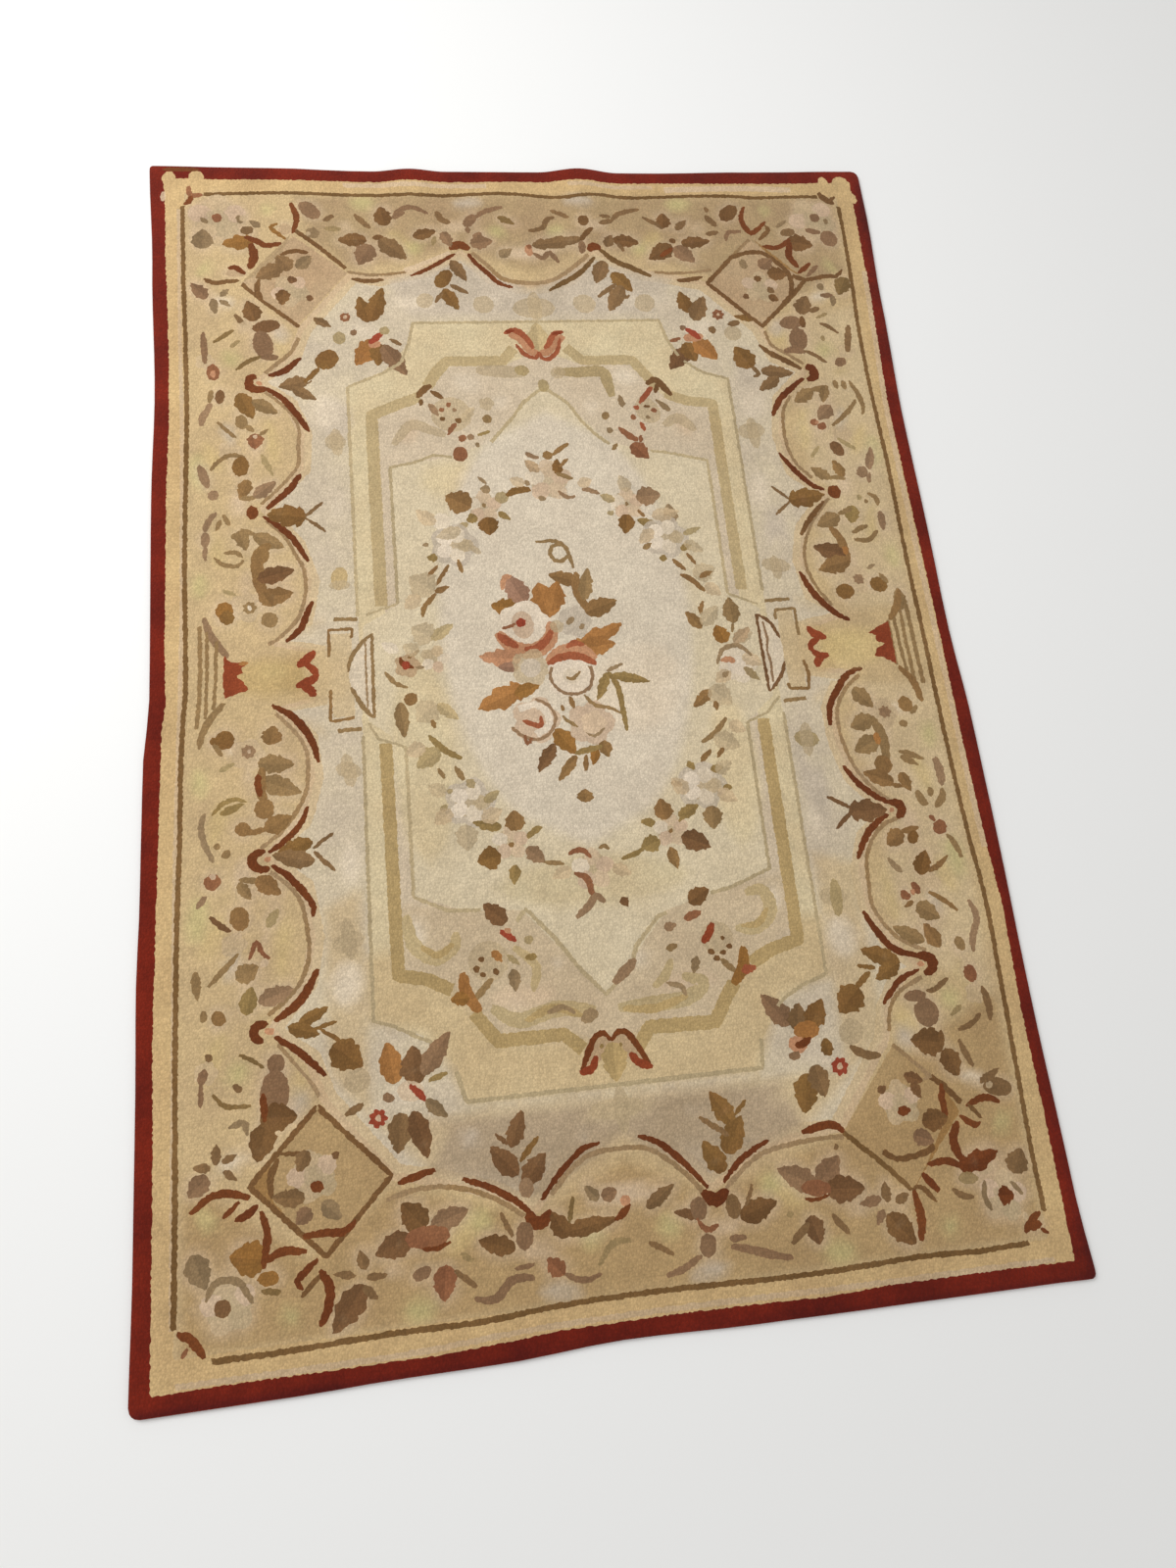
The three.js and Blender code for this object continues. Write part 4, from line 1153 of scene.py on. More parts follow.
# Plinths in the middle of the two sides, with their crowns and boxes
PLINTHS = [
    (cloud, "sand", 96, (-430, 2), (-330, 2)),
    (cloud, "sand", 96, (330, 0), (430, 0)),
    (cloud, "honey", 110, (-400, 2), (-308, 0)),
    (cloud, "honey", 110, (308, 0), (400, 0)),
    (cloud, "gold", 78, (-500, 2), (-370, 2)),
    *each(cloud, "straw", (84, (370, 0), (505, 0)), (40, (-460, 12), (-400, 10)), (40, (400, 8), (470, 8))),
    *each(line, "taupe", (6, (-532, 86), (-531, 20), (-533, -36), (-536, -70)),
          (5, (-522, 78), (-522, 0), (-524, -56)), (5, (-509, 62), (-510, 0), (-513, -44))),
    (stroke, "taupe", 11, (-498, -34), (-512, -50), (-527, -74), (-533, -100)),
    *each(line, "taupe", (6, (514, 56), (515, 0), (518, -48)), (6, (527, 74), (526, 0), (528, -64)),
          (7, (538, 66), (539, 0), (541, -68)), (5, (503, 40), (504, 0), (503, -36))),
    (stroke, "brown", 12, (506, 40), (522, 62), (532, 92)),
    (stroke, "brown", 12, (506, -38), (524, -62), (533, -98)),
    (area, "brick", 0, (-498, 38), (-488, 28), (-478, 27), (-463, 26), (-474, 19), (-472, 11), (-482, 7),
     (-476, 1), (-468, -9), (-464, -16), (-478, -20), (-498, -27), (-500, 0)),
    (stroke, "orange", 7, (-478, 24), (-464, 26)),
    (area, "brick", 0, (504, 38), (490, 32), (467, 20), (480, 16), (478, 6), (492, 1), (478, -6), (470, -18),
     (485, -22), (504, -34)),
    *each(stroke, "brick", (14, (-371, 38), (-382, 27), (-397, 16)), (11, (-386, 20), (-372, 8), (-370, -6)),
          (14, (-369, 0), (-380, -8), (-399, -15)), (14, (-392, -14), (-380, -20), (-373, -32)),
          (14, (372, 36), (381, 24), (399, 16)), (11, (388, 18), (372, 6), (374, -6)),
          (12, (373, -2), (382, -12), (399, -13)), (13, (390, -14), (380, -20), (376, -32))),
    (area, "honey", 0, (-348, 64), (-318, 64), (-318, -64), (-348, -66)),
    (area, "honey", 0, (326, 66), (352, 66), (354, -64), (328, -62)),
    (line, "taupe", 6, (-343, 87), (-309, 86)),
    (line, "brown", 5, (-351, 28), (-351, 70), (-317, 71), (-318, 56)),
    (line, "brown", 5, (-351, -22), (-352, -71), (-318, -67)),
    *each(line, "taupe", (6, (-343, -86), (-310, -84)), (6, (311, 83), (351, 84)),
          (5, (323, 50), (325, 67), (356, 68), (356, 22))),
    (line, "brown", 5.5, (357, -18), (361, -40), (358, -65), (328, -63), (327, -54)),
    (line, "taupe", 6, (315, -83), (351, -80)),
    (area, "pearl", 0, (-290, 60), (-308, 42), (-322, 18), (-325, 0), (-322, -22), (-308, -48), (-292, -68)),
    (area, "pearl", 0, (295, 60), (314, 44), (326, 18), (328, 0), (326, -20), (316, -42), (297, -66)),
    (line, "taupe", 5, (-289, 62), (-290, 0), (-291, -70)),
    (stroke, "taupe", 7, (-290, 61), (-308, 43), (-321, 22), (-325, 3)),
    (stroke, "taupe", 7, (-322, -20), (-308, -48), (-292, -70)),
    (line, "arcline", 3, (-299, 50), (-300, -58)),
    (line, "plum", 5, (294, 62), (294, 0), (296, -66)),
    (stroke, "plum", 6, (296, 61), (314, 46), (325, 19)),
    (stroke, "plum", 6, (327, -18), (318, -41), (298, -66)),
    (line, "mauve", 4, (302, 48), (305, 20), (302, 0), (305, -20), (303, -52)),
]

# The panel's frame of straps, with its palmettes
PANEL_FRAME = [
    (area, "bisque", 0, *STRAP_EDGE),
    (wash, "fawn", 0, (-290, -330), (-290, -424), (-216, -470), (-148, -545), (0, -560), (148, -545),
     (216, -470), (290, -424), (290, -330), (180, -340), (98, -350), (0, -460), (-104, -340), (-180, -340)),
    *each(cloud, "pearl", (50, (-150, 505), (-90, 470)), (46, (110, 505), (165, 480)),
          (40, (-90, 440), (-50, 460)), (40, (60, 450), (90, 430))),
    (cloud, "blush", 44, (-230, 370), (-200, 430)),
    (cloud, "blush", 44, (210, 430), (235, 370)),
    *each(cloud, "pearl", (40, (-252, -352), (-246, -410)), (38, (-130, -500), (-120, -470)),
          (38, (130, -494), (140, -470)), (34, (64, -424), (40, -460)), (34, (-70, -430), (-56, -450)),
          (36, (250, -352), (256, -400))),
    (cloud, "blush", 50, (-170, -480), (-60, -480)),
    (cloud, "blush", 46, (60, -480), (170, -480)),
    (area, "milk", 0, *HEART_EDGE),
    *each(cloud, "cream", (110, (-225, 40), (-225, -300)), (90, (-150, -330), (150, -330)),
          (90, (228, -60), (222, -310)), (80, (-215, 310), (-100, 320))),
    (cloud, "ivory", 400, (0, -290), (0, 440)),
    (cloud, "pearl", 150, (40, -110), (150, 20)),
    *each(line, "thread", (5, (-308, 90), (-308, 484), (-250, 510), (-222, 528)),
          (5, (-222, 528), (-208, 566), (-200, 603), (207, 603), (216, 566), (232, 532)),
          (5, (240, 522), (268, 500), (310, 486), (310, 100)),
          (5, (-308, -95), (-310, -330), (-311, -492), (-287, -500), (-249, -521), (-237, -527)),
          (6, (-208, -566), (-197, -606), (100, -605), (202, -605), (206, -566)),
          (5, (235, -526), (253, -512), (279, -500), (312, -489), (312, -100))),
    *each(line, "strap", (19, (-273, 104), (-273, 432), (-236, 448), (-196, 464)),
          (19, (-184, 482), (-168, 508), (-150, 529), (-60, 528), (-40, 552)),
          (18, (45, 552), (70, 526), (152, 526), (170, 500), (190, 470)),
          (18, (200, 460), (236, 445), (277, 440), (277, 104))),
    *each(line, "brass", (18, (-277, -108), (-276, -436), (-240, -444), (-206, -462)),
          (18, (-180, -494), (-150, -534), (-62, -534), (-38, -556)),
          (19, (36, -560), (54, -536), (146, -538), (162, -512), (180, -488)),
          (19, (206, -464), (240, -448), (279, -438), (279, -108))),
    *each(line, "thread",
          (5, (-249, 107), (-249, 338), (-211, 345), (-181, 357), (-152, 353)),
          (6, (-90, 378), (-52, 422), (-34, 448), (-5, 472), (10, 470), (39, 445), (57, 413), (78, 386),
           (98, 369)),
          (5, (163, 354), (186, 351), (254, 334), (254, 98)),
          (5, (-249, -116), (-250, -332), (-205, -355), (-160, -358)),
          (6, (-113, -378), (-99, -362), (-64, -403), (-34, -447), (0, -487), (40, -453), (48, -427),
           (83, -389), (98, -383)),
          (5, (163, -362), (195, -356), (254, -334), (254, -112)),
          (4, (-249, 107), (-296, 92)),
          (4, (254, 98), (300, 78)),
          (4, (-249, -116), (-287, -101), (-300, -76)),
          (4, (254, -112), (286, -100), (310, -74))),
    (oval, "sage", 18, (2, 492), (2, 468)),
    (stroke, "mist", 24, (-104, 512), (-60, 508), (-24, 504)),
    (oval, "sage", 20, (-42, 512), (-18, 506)),
    (stroke, "sage", 21, (22, 506), (60, 504), (100, 504), (108, 480), (112, 456)),
    (oval, "mist", 24, (22, 514), (34, 494)),
    (stroke, "mist", 18, (-242, 378), (-214, 412), (-186, 404), (-160, 392)),
    (stroke, "mist", 19, (190, 400), (216, 413), (242, 390)),
    (stroke, "strap", 22, (-156, -490), (-120, -510), (-70, -500), (-16, -506)),
    (stroke, "brass", 12, (-112, -512), (-74, -498), (-34, -512)),
    (stroke, "ash", 8, (-82, -504), (-60, -498), (-44, -508)),
    (oval, "ash", 18, (-37, -519), (-14, -507)),
    (stroke, "strap", 22, (14, -506), (60, -506), (112, -502), (136, -484), (108, -472)),
    (stroke, "brass", 12, (20, -508), (64, -512), (112, -500)),
    (stroke, "ash", 8, (84, -480), (104, -486), (110, -500)),
    *each(stroke, "strap", (13, (-120, -412), (-92, -440), (-98, -474)),
          (13, (96, -448), (84, -470), (66, -484)),
          (20, (-262, -356), (-254, -396), (-226, -418), (-200, -404), (-196, -384))),
    (stroke, "brass", 10, (-244, -400), (-222, -414), (-200, -400)),
    (stroke, "strap", 20, (192, -414), (222, -416), (246, -394), (238, -364), (212, -366)),
    (stroke, "brass", 10, (200, -412), (226, -410), (242, -390)),
    (stroke, "mauve", 15, (12, -474), (30, -458), (46, -444)),
    (leaf, "strap", 34, (1, 540), (1, 602)),
    (stroke, "salmon", 17, (-46, 578), (-26, 570), (-14, 548), (0, 540)),
    (stroke, "salmon", 17, (44, 574), (26, 560), (14, 544), (0, 540)),
    *each(stroke, "ember", (11, (-54, 580), (-36, 587), (-18, 572), (-8, 550)),
          (8, (-36, 560), (-24, 541), (-6, 532), (0, 545)), (11, (44, 583), (28, 578), (18, 560), (10, 550)),
          (8, (38, 570), (30, 544), (15, 530), (3, 534), (0, 545))),
    (oval, "brick", 7, (-52, 584), (-36, 586)),
    (oval, "brick", 7, (24, 578), (44, 582)),
    (area, "clay", 0, (-38, -580), (-26, -548), (-10, -538), (0, -550), (12, -538), (28, -550), (44, -582),
     (22, -574), (0, -556), (-18, -574)),
    (leaf, "brass", 32, (2, -550), (2, -602)),
    (stroke, "rust", 9, (-44, -586), (-32, -560), (-20, -541), (-8, -537), (0, -549)),
    (stroke, "rust", 9, (0, -549), (12, -537), (26, -544), (38, -564), (50, -588)),
    (stroke, "brick", 11, (-46, -585), (-30, -582), (-22, -566)),
    (stroke, "brick", 11, (52, -588), (34, -580), (24, -566)),
    (oval, "olive", 6, (-17, -554), (-11, -555)),
    (oval, "olive", 6, (10, -555), (16, -554)),
]

# Flower baskets in the corners of the panel
BASKETS = [
    (oval, "mist", 62, (-178, 445), (-120, 415)),
    (bloom, "mist", 26, (-92, 448)),
    (oval, "taupe", 15, (-100, 424), (-86, 416)),
    *each(stroke, "bronze", (12, (-201, 462), (-190, 476), (-177, 485)), (9, (-179, 474), (-160, 460)),
          (7, (-196, 447), (-194, 460))),
    (leaf, "mauve", 11, (-183, 451), (-168, 427)),
    (oval, "rose", 9, (-168, 441), (-159, 437)),
    (oval, "rose", 9, (-156, 450), (-148, 446)),
    (oval, "mauve", 7, (-147, 439), (-140, 437)),
    (oval, "bronze", 9, (-168, 424), (-159, 420)),
    (oval, "bronze", 10, (-143, 421), (-134, 417)),
    (stroke, "rose", 9, (-156, 393), (-150, 404), (-142, 415)),
    (leaf, "mist", 15, (-133, 416), (-112, 443)),
    (leaf, "rose", 12, (-139, 380), (-130, 393)),
    (oval, "mauve", 11, (-126, 384), (-117, 392)),
    (oval, "rose", 27, (-152, 357), (-128, 359)),
    (stroke, "olive", 7, (-111, 391), (-89, 398)),
    (oval, "flint", 10, (-115, 372), (-108, 374)),
    (oval, "mist", 50, (150, 420), (185, 438)),
    (stroke, "bronze", 12, (170, 478), (186, 488), (198, 474), (211, 456)),
    (stroke, "bronze", 9, (183, 462), (191, 481)),
    (stroke, "ember", 10, (155, 442), (166, 456), (180, 474)),
    (oval, "ember", 9, (145, 435), (155, 435)),
    (oval, "bronze", 6, (162, 437), (172, 436)),
    (oval, "rose", 10, (173, 430), (183, 428)),
    (oval, "flint", 7, (163, 416), (171, 416)),
    (oval, "rose", 10, (140, 422), (145, 412)),
    (stroke, "ember", 8, (153, 408), (159, 391)),
    (leaf, "flint", 10, (205, 427), (182, 450)),
    (leaf, "flint", 10, (128, 436), (124, 460)),
    (stroke, "rose", 11, (117, 399), (124, 390), (138, 378), (146, 374)),
    (leaf, "rose", 26, (134, 369), (159, 340)),
    (stroke, "rose", 7, (151, 384), (149, 369)),
    (oval, "taupe", 15, (92, 424), (103, 418)),
    (oval, "flint", 11, (96, 396), (107, 392)),
    (stroke, "taupe", 8, (111, 369), (101, 357)),
    (oval, "mist", 54, (-180, -415), (-130, -440)),
    (leaf, "plum", 25, (-127, -379), (-157, -349)),
    (stroke, "crimson", 10, (-137, -389), (-126, -396), (-115, -405)),
    (oval, "salmon", 8, (-130, -386), (-122, -392)),
    (leaf, "orange", 11, (-149, -414), (-137, -431)),
    *each(oval, "bronze", (8, (-168, -423), (-161, -427)), (9, (-177, -436), (-167, -438)),
          (8, (-168, -444), (-160, -446)), (9, (-151, -442), (-141, -444))),
    (stroke, "taupe", 10, (-151, -451), (-164, -464), (-178, -478)),
    (stroke, "orange", 17, (-191, -440), (-187, -468), (-171, -494)),
    (leaf, "ochre", 17, (-184, -474), (-210, -474)),
    (leaf, "flint", 16, (-122, -441), (-122, -472)),
    (oval, "sage", 12, (-105, -404), (-92, -404)),
    (oval, "olive", 10, (-105, -428), (-88, -427)),
    (leaf, "sage", 8, (-130, -422), (-112, -437)),
    (oval, "mist", 46, (145, -410), (182, -440)),
    (leaf, "bronze", 24, (130, -373), (161, -355)),
    (stroke, "rose", 12, (121, -396), (132, -391), (146, -388)),
    (stroke, "brick", 12, (142, -431), (152, -420), (160, -403)),
    *each(oval, "bronze", (7, (168, -426), (175, -427)), (9, (175, -439), (183, -438)),
          (7, (165, -446), (174, -446)), (9, (148, -443), (158, -443)), (9, (155, -454), (164, -452))),
    (stroke, "taupe", 9, (165, -455), (184, -475)),
    (stroke, "ochre", 17, (199, -440), (195, -468), (178, -491)),
    (leaf, "ember", 13, (192, -474), (215, -470)),
    (leaf, "mauve", 12, (90, -406), (110, -401)),
    (leaf, "taupe", 10, (90, -435), (108, -430)),
    (leaf, "flint", 12, (132, -447), (124, -472)),
]

# The wreath of flowers around the panel's middle
WREATH = [
    *blossom(74, (-6, 306)),
    (stroke, "mauve", 9, (-38, 358), (-28, 350), (-17, 347)),
    (oval, "brown", 15, (-10, 356), (4, 346)),
    (stroke, "brown", 8, (4, 351), (18, 362), (32, 372)),
    (leaf, "umber", 16, (11, 316), (10, 345)),
    (stroke, "brown", 7, (14, 330), (29, 345)),
    (stroke, "taupe", 8, (7, 318), (20, 313), (34, 307)),
    (oval, "ash", 9, (-25, 277), (-12, 273)),
    (stroke, "mauve", 7, (7, 287), (22, 275), (34, 277)),
    (oval, "ash", 10, (-42, 308), (-37, 298)),
    *blossom(56, (-110, 264)),
    (leaf, "brown", 38, (-130, 264), (-168, 286)),
    (oval, "taupe", 8, (-113, 266), (-106, 266)),
    (leaf, "ash", 14, (-97, 293), (-114, 296)),
    (stroke, "ash", 7, (-116, 317), (-102, 303)),
    (oval, "sage", 22, (-86, 288), (-76, 270)),
    (stroke, "umber", 14, (-74, 282), (-58, 290), (-35, 292)),
    (leaf, "umber", 30, (-106, 246), (-104, 214)),
    (leaf, "olive", 16, (-122, 248), (-138, 240)),
    (leaf, "sage", 11, (-136, 236), (-159, 226)),
    (leaf, "olive", 11, (-89, 253), (-70, 240)),
    (oval, "pearl", 27, (-177, 256), (-176, 226)),
    *blossom(56, (115, 261)),
    (leaf, "mauve", 32, (130, 272), (170, 274)),
    (oval, "taupe", 8, (111, 260), (117, 260)),
    (leaf, "mist", 20, (118, 282), (108, 312)),
    (leaf, "sage", 14, (96, 266), (72, 278)),
    (stroke, "mauve", 9, (45, 289), (60, 286), (73, 279)),
    (leaf, "umber", 25, (112, 242), (106, 208)),
    (oval, "sage", 9, (80, 245), (93, 245)),
    (leaf, "olive", 15, (128, 232), (162, 217)),
    (stroke, "brown", 7, (130, 249), (140, 236)),
    (leaf, "ash", 22, (182, 222), (180, 258)),
    *pale_flower((-160, 200)),
    *pale_flower((168, 200)),
    (oval, "ash", 7, (-207, 202), (-197, 203)),
    (leaf, "olive", 13, (-186, 179), (-202, 182)),
    (stroke, "mist", 10, (-136, 199), (-121, 183)),
    *each(stroke, "brown", (8, (-156, 176), (-150, 153)), (7, (-203, 150), (-186, 167)),
          (7, (-191, 134), (-170, 168))),
    (leaf, "mist", 42, (-194, 124), (-230, 150)),
    (leaf, "brown", 10, (-194, 123), (-171, 132)),
    (stroke, "brown", 8, (-192, 121), (-204, 108), (-212, 97), (-213, 84)),
    (leaf, "sage", 10, (197, 203), (227, 214)),
    (leaf, "olive", 10, (189, 177), (209, 185)),
    (leaf, "taupe", 9, (130, 180), (146, 191)),
    (oval, "olive", 12, (160, 169), (161, 157)),
    *each(stroke, "brown", (8, (174, 161), (193, 141)), (7, (198, 170), (211, 150)),
          (9, (183, 134), (200, 125), (219, 103))),
    (leaf, "mist", 30, (204, 130), (240, 144)),
    (leaf, "brown", 9, (212, 128), (236, 138)),
    (stroke, "brown", 8, (207, 65), (208, 76), (214, 88)),
    (leaf, "mist", 36, (-200, 48), (-231, 68)),
    (leaf, "strap", 17, (-203, 47), (-169, 71)),
    *blossom(44, (-200, 16), 0, ("pearl", "bone", "mist", "pearl", "petal")),
    (bloom, "clay", 40, (-240, 8)),
    (leaf, "pearl", 16, (-252, 30), (-276, 46)),
    (stroke, "rust", 8, (-250, 22), (-246, 10), (-230, 4)),
    (oval, "crimson", 14, (-246, 14), (-238, 4)),
    (stroke, "brown", 6, (-240, 19), (-221, 32)),
    (stroke, "ash", 6, (-229, 5), (-216, 3)),
    (stroke, "taupe", 7, (-273, 0), (-258, -19), (-240, -26)),
    (oval, "brown", 21, (-246, -38), (-230, -50)),
    (leaf, "taupe", 20, (-254, -48), (-250, -103)),
    (leaf, "mist", 36, (-202, -54), (-232, -78)),
    (leaf, "strap", 17, (-201, -54), (-171, -80)),
    (stroke, "brown", 8, (-210, -78), (-205, -91)),
    (stroke, "olive", 10, (-216, -101), (-197, -123), (-171, -139)),
    (leaf, "sage", 26, (-202, -122), (-235, -149)),
    (stroke, "taupe", 7, (-205, -151), (-197, -168)),
    (stroke, "taupe", 9, (-182, -150), (-170, -172)),
    (leaf, "taupe", 25, (256, 48), (254, 93)),
    (stroke, "taupe", 6, (252, 33), (256, 50)),
    (leaf, "ochre", 24, (240, 17), (227, 47)),
    (leaf, "mist", 16, (256, 18), (284, 32)),
    (bloom, "pearl", 66, (252, -18)),
    (bloom, "snow", 34, (252, -22)),
    (leaf, "clay", 18, (252, 16), (280, 40)),
    (leaf, "bone", 20, (262, -6), (292, -22)),
    (leaf, "bone", 20, (240, -30), (214, -46)),
    (stroke, "ash", 8, (222, -17), (232, 5), (254, 12), (268, 4), (276, -8)),
    (stroke, "salmon", 10, (228, -12), (240, -10), (250, -16)),
    (leaf, "lichen", 12, (262, -24), (284, -48)),
    (leaf, "ash", 9, (226, -39), (238, -30)),
    (leaf, "brown", 18, (206, 43), (183, 72)),
    (leaf, "mist", 24, (206, 48), (235, 78)),
    (leaf, "brown", 17, (207, -58), (175, -84)),
    (leaf, "mist", 33, (204, -54), (236, -82)),
    (stroke, "brown", 8, (210, -75), (210, -91)),
    (stroke, "taupe", 9, (181, -139), (205, -124), (223, -102)),
    (leaf, "mist", 28, (200, -130), (238, -150)),
    (stroke, "brown", 9, (175, -170), (193, -150)),
    (stroke, "brown", 8, (201, -164), (213, -149)),
    *pale_flower((-165, -205)),
    *pale_flower((172, -205)),
    (leaf, "sage", 12, (-166, -170), (-156, -184)),
    (leaf, "sage", 14, (-144, -206), (-122, -190)),
    (oval, "sage", 10, (-207, -212), (-195, -208)),
    (oval, "sage", 8, (-195, -183), (-189, -190)),
    (leaf, "olive", 11, (156, -166), (164, -181)),
    (leaf, "olive", 12, (188, -182), (208, -178)),
    (oval, "olive", 9, (202, -209), (217, -211)),
    (leaf, "brown", 9, (127, -196), (145, -203)),
    *blossom(52, (-112, -266)),
    (leaf, "brown", 27, (-103, -251), (-104, -220)),
    (stroke, "olive", 10, (-88, -263), (-78, -253), (-66, -247)),
    (oval, "brown", 8, (-115, -270), (-107, -270)),
    (leaf, "umber", 32, (-127, -284), (-160, -290)),
    (leaf, "mauve", 21, (-90, -276), (-66, -299)),
    (stroke, "taupe", 7, (-68, -298), (-55, -301), (-39, -303)),
    (leaf, "olive", 15, (-108, -298), (-112, -327)),
    (leaf, "olive", 16, (-122, -244), (-163, -234)),
    (leaf, "mist", 30, (-172, -236), (-172, -274)),
    *blossom(52, (118, -266)),
    (leaf, "brown", 26, (113, -252), (108, -219)),
    (leaf, "olive", 12, (97, -255), (75, -251)),
    (leaf, "olive", 17, (132, -248), (164, -233)),
    (stroke, "olive", 7, (130, -255), (142, -247)),
    (oval, "brown", 7, (114, -267), (121, -269)),
    (leaf, "plum", 29, (132, -276), (173, -296)),
    (leaf, "taupe", 27, (183, -236), (180, -271)),
    (leaf, "olive", 24, (100, -280), (72, -290)),
    (stroke, "olive", 8, (76, -290), (60, -298), (41, -303)),
    (leaf, "brown", 16, (113, -292), (121, -324)),
    *blossom(60, (0, -314)),
    (stroke, "rose", 8, (-32, -290), (-20, -285), (-8, -288), (-1, -298)),
    (stroke, "taupe", 7, (11, -285), (20, -282), (27, -288)),
    (stroke, "rose", 10, (-28, -318), (-10, -325), (-5, -346), (2, -356)),
    (stroke, "mauve", 11, (12, -362), (0, -352), (-12, -366), (-30, -380)),
    (leaf, "plum", 13, (36, -357), (44, -371)),
    (leaf, "brown", 22, (0, -217), (0, -196)),
    (leaf, "bone", 22, (-186, 236), (-214, 262)),
    (leaf, "mist", 20, (-148, 226), (-186, 214)),
    (leaf, "bone", 22, (150, 236), (196, 244)),
    (leaf, "mist", 18, (196, 190), (226, 172)),
    (leaf, "bone", 20, (150, 214), (126, 190)),
    (leaf, "bone", 22, (-150, -232), (-120, -218)),
    (leaf, "mist", 20, (-196, -190), (-222, -176)),
    (leaf, "bone", 22, (-190, -214), (-216, -232)),
    (leaf, "bone", 22, (150, -214), (128, -190)),
    (leaf, "mist", 20, (196, -186), (222, -170)),
    *each(leaf, "bone", (20, (194, -214), (222, -232)), (22, (-216, 118), (-240, 98)),
          (20, (220, 116), (244, 96)), (22, (-222, -116), (-250, -128)), (20, (226, -112), (250, -126))),
    (leaf, "mist", 20, (-222, 28), (-246, 40)),
    (leaf, "bone", 18, (-44, 300), (-66, 312)),
    (leaf, "bone", 18, (40, 296), (64, 306)),
    (leaf, "clay", 16, (-20, 322), (-40, 344)),
    (leaf, "bone", 18, (-30, -310), (-58, -322)),
    (leaf, "bone", 18, (28, -312), (54, -326)),
]

